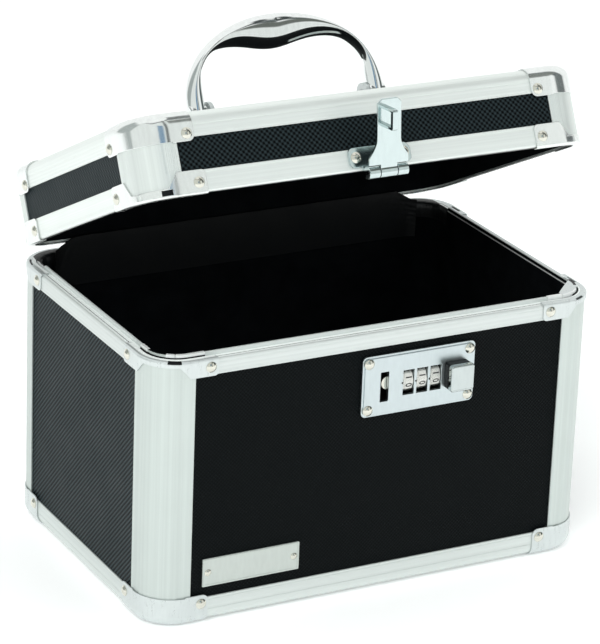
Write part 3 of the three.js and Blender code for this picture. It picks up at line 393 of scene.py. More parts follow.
def arc(cx, cy, r, a0, a1, steps):
    angles = [rad(a0 + (a1 - a0) * i / steps) for i in range(steps + 1)]
    return [(cx + r * cos(a), cy + r * sin(a)) for a in angles]


def rounded(w, h, r, x, y, steps=6):
    """A rounded rectangle about (x, y). r is one radius, or four from the upper right round."""
    radii = r if isinstance(r, tuple) else (r,) * 4
    a, b = w / 2, h / 2
    signs = ((1, 1), (-1, 1), (-1, -1), (1, -1))
    loop = []
    for i, ((sx, sy), q) in enumerate(zip(signs, radii)):
        loop += arc(x + sx * (a - q), y + sy * (b - q), q, 90 * i, 90 * i + 90, steps)
    return loop


def box(x0, y0, x1, y1):
    return [(x0, y0), (x1, y0), (x1, y1), (x0, y1)]


def area(loop):
    ahead = loop[1:] + loop[:1]
    return sum(a[0] * b[1] - b[0] * a[1] for a, b in zip(loop, ahead)) / 2


def facing(loop, outer):
    """Outer loops run anticlockwise and holes clockwise, so the sheet is always on the left."""
    return loop if (area(loop) > 0) == outer else loop[::-1]


def inset(loop, d):
    """A loop moved into its sheet by d, mitred at its corners."""
    moved = []
    for i, p in enumerate(loop):
        a, b, c = Vector(loop[i - 1]), Vector(p), Vector(loop[(i + 1) % len(loop)])
        u, v = (b - a).normalized(), (c - b).normalized()
        n = Vector((-u.y - v.y, u.x + v.x))
        if n.length < 1e-6:
            n = Vector((-u.y, u.x))
        n.normalize()
        moved.append(b + n * d / max(0.35, n.dot(Vector((-u.y, u.x)))))
    return [(p.x, p.y) for p in moved]


def plate(loops, h0, h1, rim, steps=2):
    """A flat sheet from h0 to h1 with rounded rims. After its outline come its holes."""
    loops = [facing(loop, i == 0) for i, loop in enumerate(loops)]
    quarter = [rad(90 * i / steps) for i in range(steps + 1)]
    levels = [(rim * (1 - sin(a)), h0 + rim * (1 - cos(a))) for a in quarter]
    levels += [(rim * (1 - cos(a)), h1 - rim * (1 - sin(a))) for a in quarter]
    verts, faces, rings = [], [], []
    for loop in loops:
        rows = []
        for d, h in levels:
            rows.append(range(len(verts), len(verts) + len(loop)))
            verts += [(x, y, h) for x, y in inset(loop, d)]
        n = len(loop)
        for low, high in zip(rows, rows[1:]):
            faces += [[low[i], low[(i + 1) % n], high[(i + 1) % n], high[i]] for i in range(n)]
        rings.append((rows[0], rows[-1]))
    for end in (0, 1):
        index = [i for ring in rings for i in ring[end]]
        polys = [[Vector(verts[i][:2]).to_3d() for i in ring[end]] for ring in rings]
        faces += [[index[i] for i in tri] for tri in tessellate_polygon(polys)]
    return verts, faces


def loft(rings, closed=False):
    """Skins equal rings in order. It ends in caps, or in its first ring where closed."""
    n = len(rings[0])
    verts = [p for ring in rings for p in ring]
    faces = []
    spans = len(rings) if closed else len(rings) - 1
    for s in range(spans):
        a, b = s * n, ((s + 1) % len(rings)) * n
        faces += [[a + i, a + (i + 1) % n, b + (i + 1) % n, b + i] for i in range(n)]
    if not closed:
        faces += [list(range(n)), list(range(len(verts) - n, len(verts)))]
    return verts, faces


def lathe(profile, sides=24):
    """Turns (radius, height) points about Z. A zero radius closes an end."""
    verts, faces, rows = [], [], []
    for r, h in profile:
        if r < 1e-6:
            rows.append([len(verts)] * sides)
            verts.append((0, 0, h))
        else:
            rows.append(list(range(len(verts), len(verts) + sides)))
            spin = [2 * pi * i / sides for i in range(sides)]
            verts += [(r * cos(a), r * sin(a), h) for a in spin]
    for low, high in zip(rows, rows[1:]):
        for i in range(sides):
            j = (i + 1) % sides
            face = list(dict.fromkeys((low[i], low[j], high[j], high[i])))
            if len(face) > 2:
                faces.append(face)
    return verts, faces


def bar(section, x0, x1):
    """Carries a section of (y, z) along X."""
    return loft([[(x, y, z) for y, z in section] for x in (x0, x1)])


def along_x(x, y, z):
    """Places a lathe's height along X, from x."""
    return shift(x, y, z) @ turned(90, "Y")


def rod(radius, length, round_, sides=28):
    """A turned bar with rounded ends."""
    rim = [(radius - round_ * (1 - sin(a)), round_ * (1 - cos(a)))
           for a in (0, rad(45), rad(90))]
    far = [(r, length - h) for r, h in reversed(rim)]
    return lathe([(0, 0), *rim, *far, (0, length)], sides)


def centre(turn):
    """The centre of a corner's round, in plan."""
    a = rad(turn * 90 + 45)
    x, y = HALF_W - CORNER_R, HALF_D - CORNER_R
    return copysign(x, cos(a)), copysign(y, sin(a))


def path(turn, legs=(0, 0), steps=18):
    """Places along the plan outline round one corner, as (x, y, nx, ny)."""
    cx, cy = centre(turn)
    out = []
    for i in range(steps + 1):
        a = rad(turn * 90 + 90 * i / steps)
        nx, ny = cos(a), sin(a)
        out.append((cx + CORNER_R * nx, cy + CORNER_R * ny, nx, ny))
    if legs[0]:
        x, y, nx, ny = out[0]
        out.insert(0, (x + ny * legs[0], y - nx * legs[0], nx, ny))
    if legs[1]:
        x, y, nx, ny = out[-1]
        out.append((x - ny * legs[1], y + nx * legs[1], nx, ny))
    return out


def front_path():
    """Along the left side, the front and the right side, between the tongue's ends at the back."""
    side = 2 * HALF_D - 2 * CORNER_R - TONGUE_STOP
    return path(FL, (side, 0)) + path(FR, (0, side))


def whole_path(steps=18):
    return [p for turn in range(4) for p in path(turn, steps=steps)]


def sweep(section, places, closed=False):
    """Carries a closed section of (offset, z) along a plan path."""
    rings = [[(x + nx * o, y + ny * o, z) for o, z in section] for x, y, nx, ny in places]
    return loft(rings, closed)


def lie_on(at, normal):
    """Stands +Z on a face."""
    turn = Vector((0, 0, 1)).rotation_difference(Vector(normal)).to_matrix().to_4x4()
    return Matrix.Translation(at) @ turn


def rivet(radius, height):
    """A domed head with a thin flat brim."""
    low, r = height * 0.2, radius * 0.97
    ball = (r * r + (height - low) ** 2) / (2 * (height - low))
    edge = asin(r / ball)
    dome = [(ball * sin(edge * k / 9), height - ball + ball * cos(edge * k / 9))
            for k in range(9, 0, -1)]
    return lathe([(0, -0.3), (radius, -0.3), (radius, low * 0.8), *dome, (0, height)])


ARC = CORNER_R * pi / 2
S_CUTS = [-ARC / 2 + ARC * i / 18 for i in range(19)]


def scored(flat, cuts):
    """Cuts a flat sheet along its bend lines."""
    verts, faces = flat
    bm = bmesh.new()
    made = [bm.verts.new(v) for v in verts]
    for f in faces:
        try:
            bm.faces.new([made[i] for i in f])
        except ValueError:
            pass
    bmesh.ops.recalc_face_normals(bm, faces=bm.faces)
    for axis, places in ((Vector((1, 0, 0)), S_CUTS), (Vector((0, 1, 0)), cuts)):
        for c in places:
            geom = [*bm.verts, *bm.edges, *bm.faces]
            bmesh.ops.bisect_plane(bm, geom=geom, plane_co=axis * c, plane_no=axis, dist=1e-4)
    bm.verts.index_update()
    out = [tuple(v.co) for v in bm.verts], [[v.index for v in f.verts] for f in bm.faces]
    bm.free()
    return out


def bent(flat, turn, profile, cuts):
    """Bends a flat sheet round a corner and along a section.

    flat has (s, t, h): s runs along the outline from the corner's middle, t along the section and
    h from its outer face inwards. profile(t) gives (offset, z, the outward normal's two parts).
    """
    verts, faces = scored(flat, cuts)
    cx, cy = centre(turn)
    out = []
    for s, t, h in verts:
        curved = max(-ARC / 2, min(ARC / 2, s))
        angle = rad(turn * 90 + 45) + curved / CORNER_R
        nx, ny = cos(angle), sin(angle)
        spare = s - curved
        o, z, po, pz = profile(t)
        off = o - h * po
        x = cx + (CORNER_R + off) * nx - ny * spare
        y = cy + (CORNER_R + off) * ny + nx * spare
        out.append((x, y, z - h * pz))
    return out, faces


def round_edge(level, up, radius, straight=0):
    """A cap's section: a straight run along the face, a round edge, then inwards at a level.

    up is 1 where the face lies below that level, and -1 where it lies above. The round starts at
    t = straight.
    """

    def at(t):
        a = max(0, min(pi / 2, (t - straight) / radius))
        o = CAP_OUT - radius + radius * cos(a) - max(0, t - straight - radius * pi / 2)
        z = radius - radius * sin(a) - min(0, t - straight)
        return o, level - up * z, cos(a), up * sin(a)

    return at


def leg_marks(turn, reach, out):
    """Where a cap's two rivets stand, and which way they face."""
    ends = path(turn, steps=1)
    signed = ((ends[0], CORNER_R - reach), (ends[1], reach - CORNER_R))
    return [((x - ny * d + nx * out, y + nx * d + ny * out), (nx, ny, 0))
            for (x, y, nx, ny), d in signed]


def edge_cap(turn, edge, direction):
    """A pressed corner: two riveted legs, a round lower edge and a flange."""
    tip = (PANEL_LOW if direction > 0 else LID_TOP_H + BASE_Z) + CAP_OVER
    radius = EDGE_R + SEAT + CAP_T
    straight, bend = tip - radius, radius * pi / 2
    at = round_edge(edge, -direction, radius, straight)
    reach = ARC / 2 + CAP_LEG - CORNER_R
    far = straight + bend + CAP_IN + CAP_OUT - radius
    toe, round_, ear, dip = 3.2, 1.2, 12.5, 0.5
    loop = [
        *arc(reach - toe, toe, toe, 0, -90, 6)[::-1],
        *arc(reach - round_, far - round_, round_, 0, 90, 3),
        *arc(round_ - reach, far - round_, round_, 90, 180, 3),
        *arc(toe - reach, toe, toe, 180, 270, 6),
        (ear - reach, 0), (ear - reach + dip, dip),
        (reach - ear - dip, dip), (reach - ear, 0),
    ]
    cuts = [straight + bend * i / 8 for i in range(9)]
    sheet = bent(plate([loop], 0, CAP_T, 0.18), turn, at, cuts)
    form = Form().add(sheet, CAP if direction > 0 else TOP_CAP)
    for (x, y), normal in leg_marks(turn, CAP_RIVET, CAP_OUT):
        form.rivets([(x, y, edge + direction * RIVET_EDGE)], normal)
    return form


def from_middle(d):
    """Distance along a cap from its middle, of a point that is d from the sharp corner."""
    if d >= CORNER_R:
        return ARC / 2 + d - CORNER_R
    return CORNER_R * (rad(45) - asin((CORNER_R - d) / (CORNER_R + CAP_OUT)))


def openings(turn, case, bend):
    """A rim cap's openings: two places along it, two along its section, and the look below.

    bend is the length of its round edge.
    """
    if not case:
        side, under = (1, BLACK) if turn in LEFT else (-1, STEEL)
        return [(side * 6.3, side * 11.6, -2.9, -0.1, under),
                (-side * 5.9, -side * 3.9, -2.7, -0.3, LID_TRIM)]
    return {
        FL: [(3.4, 10.2, 0.1, bend + 1.6, BLACK)],
        BL: [(5.2, 14.6, bend + 0.4, bend + 1.5, BLACK)],
        BR: [(-25.7, -17.2, bend + 0.5, bend + 2.1, BLACK)],
        FR: [(-9.6, -3.4, 0.7, bend + 0.2, CHANNEL_PAINTED_SHADE),
             (17.2, 25.7, bend + 0.4, bend + 2.1, BLACK)],
    }[turn]


def rim_cap(turn, shoulder, direction, panel, inward, case):
    """Two legs over the rim trim, joined by a ring round the post. case is False for the lid's."""
    top = shoulder + direction * (SEAT + CAP_T)
    at, bend = round_edge(top, direction, RIM_R), RIM_R * pi / 2
    reach = ARC / 2 + RIM_CAP_LEG - CORNER_R
    low = -panel - (SEAT + CAP_T - RIM_R)
    ring = -(POST_INSET + SEAT if case else LID_RING) - (SEAT + CAP_T - RIM_R)
    far = bend + inward + CAP_OUT - RIM_R - (CAP_GAP if case and turn in (FL, FR) else 0)
    wide, narrow = from_middle(LEG_CUT), from_middle(LEG_OPEN)
    toe, heel, round_ = 2.2, 0.8, 0.6
    loop = [
        *arc(toe - reach, low + toe, toe, 180, 270, 5),
        *arc(-wide - heel, low + heel, heel, 270, 325, 3),
        *arc(heel - narrow, ring - heel, heel, 150, 90, 3),
        *arc(narrow - heel, ring - heel, heel, 90, 30, 3),
        *arc(wide + heel, low + heel, heel, 215, 270, 3),
        *arc(reach - toe, low + toe, toe, 270, 360, 5),
        *arc(reach - round_, far - round_, round_, 0, 90, 3),
        *arc(round_ - reach, far - round_, round_, 90, 180, 3),
    ]
    holes = openings(turn, case, bend)
    cuts = [bend * i / 6 for i in range(7)]
    sheet = plate([loop, *(box(h[0], h[2], h[1], h[3]) for h in holes)], 0, CAP_T, 0.16)
    form = Form().add(bent(sheet, turn, at, cuts), CAP if case else LID_CAP)
    # Under each opening lies a thin sheet; the black and channel ones paint shade in the hole.
    for s0, s1, t0, t1, look in holes:
        lo, hi = sorted((s0, s1))
        under = box(lo - 0.4, t0 - 0.3, hi + 0.4, t1 + 0.3)
        form.add(bent(plate([under], CAP_T - 0.25, CAP_T - 0.1, 0.02, 1), turn, at, cuts), look)
    z = shoulder - direction * (panel / 2 - 0.6)
    for (x, y), normal in leg_marks(turn, RIM_CAP_RIVET, CAP_OUT):
        form.rivets([(x, y, z)], normal)
    if case:
        a = -0.6 if turn == FL else -2.0
        b = CAP_OUT - far + bend - RIM_R + 0.15
        leg = RIM_CAP_LEG - CORNER_R - 0.9
        # A thin strip in the rim's lighter copy over the cap's top: painted light.
        form.add(sweep(box(a, top, b, top + 0.015), path(turn, (leg, leg))), RIM_PAINTED_LIT)
        for shell, look in cap_lip(turn, shoulder):
            form.add(shell, look)
    return form


def cap_lip(turn, shoulder):
    """The lip beside the tongue, in a lighter copy of the caps' nickel that paints it lit, and a
    black strip between it and the cap's top that paints the shadow line.
    """
    out = -(WALL + TRIM_T - TONGUE_T - SEAT)
    z0, z1 = shoulder + 0.35, shoulder + LIP_H
    over, z2 = out - TONGUE_T - 0.05, shoulder + TONGUE_H + 0.06
    section = [(out, z0), (out, z2), (over, z2), (over, z1 - 0.15), (over + 0.15, z1),
               (out + CAP_T - 0.15, z1 - 0.06), (out + CAP_T, z1 - 0.25), (out + CAP_T, z0)]
    # A black strip in the gap and at the lip's foot: a painted shadow line.
    o, h = out + CAP_T + 0.02, shoulder + 0.42
    painted_shadow_line = [(o, h - 0.3), (o + CAP_GAP, h - 0.3), (o + CAP_GAP, h), (o + 0.1, h),
            (o + 0.1, h + 0.75), (o, h + 0.75)]
    if turn == FL:
        places = path(turn, (LIP_LEFT, LIP_FRONT), 90)
        # The middle run is in the darker copy: painted shade.
        runs = ((0, 9, LIP), (8, 50, LIP_PAINTED_SHADE), (49, 66, LIP), (67, None, LIP))
        shells = [(sweep(section, places[a:b]), look) for a, b, look in runs]
        return shells + [(sweep(painted_shadow_line, places), BLACK)]
    if turn == FR:
        places = path(turn, (LIP_FRONT, LIP_LEFT), 90)
        shells = [(sweep(section, places[a:b]), LIP) for a, b in ((0, 2), (2, 50))]
        cx, cy = centre(turn)
        # A black plate in a slot of the ring: painted shade in the slot.
        slot = arc(cx, cy, CORNER_R - 4, -25, 8, 8) + arc(cx, cy, CORNER_R - 5.6, 8, -25, 8)
        shells.append((plate([slot], z1 - 0.4, z1 + 0.06, 0.05, 1), BLACK))
        return shells + [(sweep(painted_shadow_line, places[28:54]), BLACK), (gusset(z1 + 0.02), CAP)]
    # At the back corners the lip is a flat strip in the lighter nickel: painted light.
    a, b, top = out + 0.12, -WALL - TRIM_T + 0.05, shoulder + SEAT + CAP_T
    flat = path(turn, (0, TONGUE_STOP - 0.1) if turn == BL else (TONGUE_STOP - 0.1, 0))
    return [(sweep([(a, z0), (a, top), (b, top), (b, z0)], flat), LIP)]


def gusset(z):
    """The flat web across the front right corner, level with its lip."""
    cx, cy = centre(FR)
    inner, outer = CORNER_R - 4.6, CORNER_R - 3.9
    loop = [(124.6, -65.3), (112.3, -77.3), (109.9, -79.7), (cx, cy - inner)]
    loop += arc(cx, cy, inner, 273, 318, 9) + arc(cx, cy, outer, 326, 360, 8)
    loop += [(cx + outer, -60.5), (124.7, -60.5)]
    return plate([loop], z - 0.45, z, 0.12)


def grooved(o, z0, z1, lines):
    """A straight face from z0 to z1 at offset o with shallow grooves at the given heights."""
    depth, width = 0.12, 0.34
    points = [(o, z0)]
    for z in sorted(lines, reverse=z1 < z0):
        w = width / 2 if z1 > z0 else -width / 2
        points += [(o, z - w), (o - depth, z), (o, z + w)]
    return points + [(o, z1)]


def edge_trim(edge, direction, wall, board, face):
    """The round-edged extrusion along the base or the lid's top."""
    outer = grooved(TRIM_T, face - 0.25, BASE_Z + EDGE_R, [face - 1.5, BASE_Z + EDGE_R + 1.2])
    section = [
        (TRIM_T - 0.25, face),
        *outer,
        *arc(TRIM_T - EDGE_R, BASE_Z + EDGE_R, EDGE_R, 0, -90, 10)[1:],
        (-FLANGE + 0.3, BASE_Z),
        (-FLANGE, BASE_Z + 0.3),
        (-FLANGE, BASE_Z + TRIM_T),
        (-wall, BASE_Z + TRIM_T),
        (-wall, BASE_Z + TRIM_T + board),
        (0, BASE_Z + TRIM_T + board),
        (0, face),
    ]
    return sweep([(o, edge + direction * z) for o, z in section], whole_path(), True)


def rim_face(shoulder, direction, face, wall, inside, ring, channel):
    """A rim trim's face between two posts, or the ring that runs on over a post."""
    low = -face if ring else -POST_INSET
    lines = [-face + 1.4, -RIM_R - 0.7] if ring else []
    a, b = CHANNEL
    groove = [(-a, 0), (-a - 0.1, -channel), (-b + 0.05, -channel), (-b, 0)]
    section = [
        (0, low),
        (TRIM_T - 0.2, low),
        *grooved(TRIM_T, low + 0.2, -RIM_R, lines),
        *arc(TRIM_T - RIM_R, -RIM_R, RIM_R, 0, 90, 6)[1:],
        *(groove if channel else []),
        (-wall - TRIM_T, 0),
        (-wall - TRIM_T, -inside),
        (-wall, -inside),
        (-wall, -TRIM_T),
        (0, -TRIM_T),
    ]
    return [(o, shoulder + direction * z) for o, z in section]


def rim_trim(shoulder, direction, wall, face, inside, channel=False):
    """Four straight runs with a full face, and a narrow ring round each corner."""
    form = Form()
    look = RIM if channel else LID_TRIM
    for turn in range(4):
        depth = 0 if not channel else 0.2 if turn in LEFT else 0.66
        long = rim_face(shoulder, direction, face, wall, inside, True, depth)
        ring = rim_face(shoulder, direction, face, wall, inside, False, depth)
        form.add(sweep(ring, path(turn, (POST_OVER, POST_OVER))), look)
        a = path(turn, (0, POST_OVER), 1)[-1]
        b = path((turn + 1) % 4, (POST_OVER, 0), 1)[0]
        form.add(sweep(long, [a, b]), look)
    if channel:
        # A dark strip on the channel's floor along the right side: painted shade in the groove.
        a, b, z = -CHANNEL[0] - 0.12, -CHANNEL[1] + 0.07, shoulder - 0.62
        right = path(FR)[9:] + path(BR)
        form.add(sweep(box(a, z - 0.03, b, z), right), CHANNEL_PAINTED_SHADE)
        # Along the left and the front: a lighter strip on the rim's top, painted light, and a thin
        # dark line in the channel, painted shade.
        left = path(FL, (2 * (HALF_D - CORNER_R), 2 * (HALF_W - CORNER_R)))
        painted_lit_strip = (-0.75, -WALL - TRIM_T + TONGUE_T, 0.02, RIM_PAINTED_LIT)
        for a, b, h, shade in (painted_lit_strip, (-2.1, -2.4, 0.06, CHANNEL_PAINTED_SHADE)):
            form.add(sweep(box(a, shoulder - 0.02, b, shoulder + h), left), shade)
    else:
        # A thin black strip round the underside of the lid's rim trim.
        black_underside_strip = [(-0.7, 0.02), (-0.7, 0.1), (-wall - 0.7, 0.1), (-wall - 0.7, 0.02)]
        form.add(sweep([(o, shoulder + direction * z) for o, z in black_underside_strip], whole_path(), True), BLACK)
    return form


def tongue():
    """The lip of the rim trim that the lid closes over, on all sides but the back."""
    inner, top = WALL + TRIM_T, RIM_TOP + TONGUE_H
    section = [
        (-inner, RIM_TOP - 0.4), (-inner + TONGUE_T, RIM_TOP - 0.4),
        (-inner + TONGUE_T, top - 0.35), (-inner + TONGUE_T - 0.12, top - 0.1),
        (-inner + TONGUE_T - 0.35, top), (-inner + 0.2, top), (-inner, top - 0.2),
    ]
    return sweep(section, front_path())


def skin_edge(relief):
    """A post's outer outline in its own quarter, from (place along the skin, depth) points."""
    skin, half = CORNER_R + TRIM_T, ARC / 2
    loop = []
    for u, d in relief:
        r = skin - d
        if abs(u) <= half:
            a = rad(45) + u / CORNER_R
            loop.append((r * cos(a), r * sin(a)))
        else:
            spare = abs(u) - half
            loop.append((-spare, r) if u > 0 else (r, -spare))
    return loop


def post(turn, wall, z0, z1, flange0, flange1, ribs=False):
    """A round outer skin with flanges that end in a bead, over a core between the boards."""
    look = LID_POST if ribs else POST
    flange, half = POST_REACH - CORNER_R, ARC / 2
    skin = CORNER_R + TRIM_T
    end = half + flange
    wing = [(0, 0.15), (0.15, 0), (0.75, 0), (0.95, 0.14)]
    if ribs:
        for i in range(6):
            at = 1.5 + i * 0.95
            wing += [(at, 0.14), (at + 0.25, 0.02), (at + 0.5, 0.14)]
    wing += [(7.6, 0.14), (7.85, 0)]
    steps = 24
    middle = [((2 * i / steps - 1) * (end - 8.6), 0) for i in range(steps + 1)]
    relief = [(at - end, d) for at, d in wing] + middle
    relief += [(end - at, d) for at, d in reversed(wing)]
    inner = [(0.01, CORNER_R), *arc(0, 0, CORNER_R - 0.4, 90, 0, 18), (CORNER_R, 0.01)]
    section = [(CORNER_R, -flange)] + skin_edge(relief) + [(-flange, CORNER_R)] + inner
    stub = [(CORNER_R, -POST_OVER + SEAT), (skin, -POST_OVER + SEAT)]
    top = stub + arc(0, 0, skin, 0, 90, 18) + [(y, x) for x, y in stub[::-1]] + inner
    core = arc(0, 0, skin - 0.3, 0, 90, 18) + arc(0, 0, CORNER_R - wall, 90, 0, 18)
    place = shift(*centre(turn), 0) @ turned(turn * 90, "Z")
    form = Form()
    form.add(plate([section], flange0, flange1, 0.012, 1), look, place)
    form.add(plate([core], z0, z1 - 0.1, 0.08, 1), look, place)
    for low, high in ((z0, flange0), (flange1, z1)):
        if high - low > 1:
            form.add(plate([top], low, high, 0.012, 1), look, place)
    return form


LOW, HIGH, CASE_TOP = PANEL_LOW + SEAT, PANEL_TOP - SEAT, RIM_TOP - POST_INSET - SEAT
LID_FOOT, LID_LO, LID_HI = LID_LOW + POST_INSET + SEAT, STRIP_LOW + SEAT, STRIP_TOP - SEAT
INWARD = WALL + TRIM_T - TONGUE_T - SEAT - CAP_T

for name, turn in CORNERS.items():
    case_cap = rim_cap(turn, RIM_TOP, 1, RIM_H + 3 * SEAT, INWARD, True)
    lid_cap = rim_cap(turn, LID_LOW, -1, LID_RIM_H + 3 * SEAT, LID_WALL, False)
    for node, body, form in (
        ("corner_post", "case", post(turn, WALL, LOW, CASE_TOP, LOW, HIGH)),
        ("lid_post", "lid", post(turn, LID_WALL, LID_FOOT, LID_HI, LID_LO, LID_HI, True)),
        ("base_cap", "case", edge_cap(turn, 0, 1)),
        ("lid_top_cap", "lid", edge_cap(turn, LID_TOP + BASE_Z, -1)),
        ("rim_cap", "case", case_cap),
        ("lid_rim_cap", "lid", lid_cap),
    ):
        how, slot = ("drawn", "trim") if "post" in node else ("pressed", "cap")
        form.piece(f"{node}_{name}", how, body, slot)

for node, body, form in (
    ("base_trim", "case", Form().add(edge_trim(0, 1, WALL, WALL, PANEL_LOW), TRIM)),
    ("lid_top_trim", "lid", Form().add(
        edge_trim(LID_TOP + BASE_Z, -1, LID_WALL, LID_BOARD, LID_TOP_H + BASE_Z), LID_TRIM)),
    ("rim_trim", "case", rim_trim(RIM_TOP, 1, WALL, RIM_H, 6.4, True).add(tongue(), RIM)),
    ("lid_rim_trim", "lid", rim_trim(LID_LOW, -1, LID_WALL, LID_RIM_H, LID_RIM_H - POST_INSET)),
):
    form.piece(node, "drawn", body, "trim")


# Lock

FRONT_UP = Matrix(((1, 0, 0, 0), (0, 0, -1, 0), (0, 1, 0, 0), (0, 0, 0, 1)))
SIDE_UP = Matrix(((0, 0, 1, 0), (1, 0, 0, 0), (0, 1, 0, 0), (0, 0, 0, 1)))


def on_side(x):
    """Lays a plate's (x, y, height) as y, z and out to the right from x."""
    return shift(x, 0, 0) @ SIDE_UP


def on_front(y):
    """Lays a plate's (x, y, height) as x, z and out towards the front from y."""
    return shift(0, y, 0) @ FRONT_UP


def dial_marks():
    """Where the three dials' middles stand along X."""
    return [DIAL_X + i * DIAL_PITCH for i in range(3)]


def window(x):
    """A dial window with a small pointer notch at its left."""
    w, h = WINDOW_W / 2, WINDOW_H / 2
    notch = ((0, 0.75), (-0.85, 0.3), (-0.85, -0.3), (0, -0.75))
    return box(x - w, DIAL_Z - h, x + w, DIAL_Z + h) + [(x - w + u, DIAL_Z + v) for u, v in notch]


neck = rounded(BOLT_TRAVEL + NECK_W + 1.2, NECK_H, 0.4, BUTTON_X + BOLT_TRAVEL / 2, LOCK_Z, 2)
slot = rounded(SLOT_W, SLOT_H, 0.4, SLOT_X, LOCK_Z - 0.9, 2)
holes = [slot, neck, *[window(x) for x in dial_marks()]]
outline = rounded(LOCK_W, LOCK_H, 2.8, LOCK_X, LOCK_Z)
field = rounded(LOCK_W - 2.4, LOCK_H - 2.4, 2.2, LOCK_X, LOCK_Z)
lock, place = Form(), on_front(-HALF_D)
lock.add(plate([outline, *holes], 0, 1.5, 0.25), LOCK, place)
lock.add(plate([field, *holes], 0.8, LOCK_T, 0.3), LOCK, place)
for sx in (-1, 1):
    for sz in (-1, 1):
        lock.rivets([(LOCK_X + sx * LOCK_RIVET_X, PLATE_FACE, LOCK_Z + sz * LOCK_RIVET_Z)])
lock.piece("lock_plate", "struck", "case", "lock")


def digit(text):
    """A digit's outline as a thin raised shell, about its centre."""
    curve = bpy.data.curves.new("digit", "FONT")
    curve.body, curve.size, curve.extrude, curve.offset = text, DIGIT_SIZE, 0.03, 0.08
    curve.align_x, curve.align_y, curve.resolution_u = "CENTER", "CENTER", 4
    obj = put("digit", curve)
    made = obj.evaluated_get(bpy.context.evaluated_depsgraph_get()).to_mesh()
    verts = [tuple(v.co) for v in made.vertices]
    faces = [list(p.vertices) for p in made.polygons]
    obj.to_mesh_clear()
    bpy.data.objects.remove(obj)
    bpy.data.curves.remove(curve)
    xs, ys = [v[0] for v in verts], [v[1] for v in verts]
    mx, my = (min(xs) + max(xs)) / 2, (min(ys) + max(ys)) / 2
    return [(x - mx, y - my, z) for x, y, z in verts], faces


DIGITS = [digit(str(i)) for i in range(10)]
DIAL_FLAT = DIAL_R * cos(rad(DIAL_STEP / 2))


def drum():
    """A ten-sided drum about its own axis, along X, with a notched wheel at its left."""

    def ring(x, scale, notch=0.0):
        points = []
        for i in range(360 // DIAL_STEP):
            for part in (-0.5, -0.42, 0.42):
                a = rad(-DIAL_TURN + DIAL_STEP * (i + part))
                r = DIAL_R * scale
                if part != -0.5:
                    r = DIAL_FLAT / cos(rad(DIAL_STEP * part)) * scale * (1 - notch)
                points.append((x, -r * cos(a), r * sin(a)))
        return points

    return loft([ring(-3, 0.93), ring(-2.8, 0.995, 0.012), ring(-1.95, 0.995, 0.012),
                 ring(-1.9, 0.965), ring(-1.75, 0.965), ring(-1.7, 0.997), ring(2.8, 0.997),
                 ring(3, 0.96)])


for i, x in enumerate(dial_marks()):
    form = Form().add(drum(), DRUM)
    for n, shell in enumerate(DIGITS):
        facet = turned(-(DIAL_STEP * n - DIAL_TURN), "X") @ shift(0.5, -DIAL_FLAT * 0.997, 0)
        form.add(shell, INK, facet @ FRONT_UP @ turned(-90, "Z"))
    body = ("first_dial", "second_dial", "third_dial")[i]
    form.piece(f"dial_{i + 1}", "engraved", body, "dial", shift(x, DIAL_Y, DIAL_Z), 20)


def bolt_and_button():
    """The bolt, the bar that ties it to the button, the button's neck and its cap."""
    form = Form()
    y0, thick = -HALF_D + 0.3, 2.2
    tip, half = SLOT_X + SLOT_W / 2 - BOLT_OVER, BOLT_H / 2
    top, foot = LOCK_Z + LOCK_H / 2 - BRIDGE_DROP, LOCK_Z - NECK_W
    limb, end = tip + half + 2.6, BUTTON_X + NECK_W / 2 + 0.6
    nose = arc(tip + half, LOCK_Z, half, 270, 90, 14)
    bolt = [*nose, (limb, LOCK_Z + half), (limb, LOCK_Z - half)]
    bridge = [(limb - 2.8, LOCK_Z - half), (limb, LOCK_Z - half), (limb, top - 2.8),
              (end - 7, top - 2.8), (end - 7, foot), (end, foot), (end, top), (limb - 2.8, top)]
    for loop in (bolt, bridge):
        form.add(plate([loop], 0, thick, 0.3), RIVET, on_front(y0 + thick))
    neck = rounded(NECK_W, 7.2, 0.3, BUTTON_X, LOCK_Z, 2)
    form.add(plate([neck], 0, 3.6, 0.1), STEEL, on_front(y0 + 1))
    # Each level of the cap is (inset, height).
    wide, high = 13.8, 14.6
    back = [(0.9, 0), (0.15, 0.15), (0.15, 3.5), (0.5, 3.8), (0.5, 4.2)]
    cap = [(0.5, 4.1), (0.25, 4.2), (0.0, 4.45), (0.0, 6.4), (0.12, 6.9), (0.42, 7.25),
           (0.85, 7.4), (1.15, 7.4), (1.3, 7.3), (1.6, 7.3)]
    for levels, look in ((back, BLACK), (cap, MIRROR)):
        rings = []
        for d, h in levels:
            loop = rounded(wide - 2 * d, high - 2 * d, max(0.3, 1.5 - d), BUTTON_X, LOCK_Z, 5)
            rings.append([(x, y, h) for x, y in loop])
        form.add(loft(rings), look, on_front(PLATE_FACE - 0.3))
    return form


bolt_and_button().piece("lock_slider", "cast", "bolt", "lock")


# Nameplate

nameplate, place = Form(), on_front(-HALF_D)
nameplate.add(plate([rounded(NAME_W, NAME_H, 0.6, NAME_X, NAME_Z)], 0, NAME_T, 0.15), PLATE, place)
border = [rounded(NAME_W - d, NAME_H - d, r, NAME_X, NAME_Z) for d, r in ((0.8, 0.5), (2.2, 0.4))]
nameplate.add(plate(border, 0.5, 1.0, 0.12), PLATE, place)
heads = [(NAME_X + s * NAME_RIVET, -HALF_D - NAME_T, NAME_Z) for s in (-1, 1)]
nameplate.rivets(heads, size=(1.9, 1.0))
nameplate.piece("nameplate", "brushed", "case", "plate")


# Hasp, drawn on the closed lid


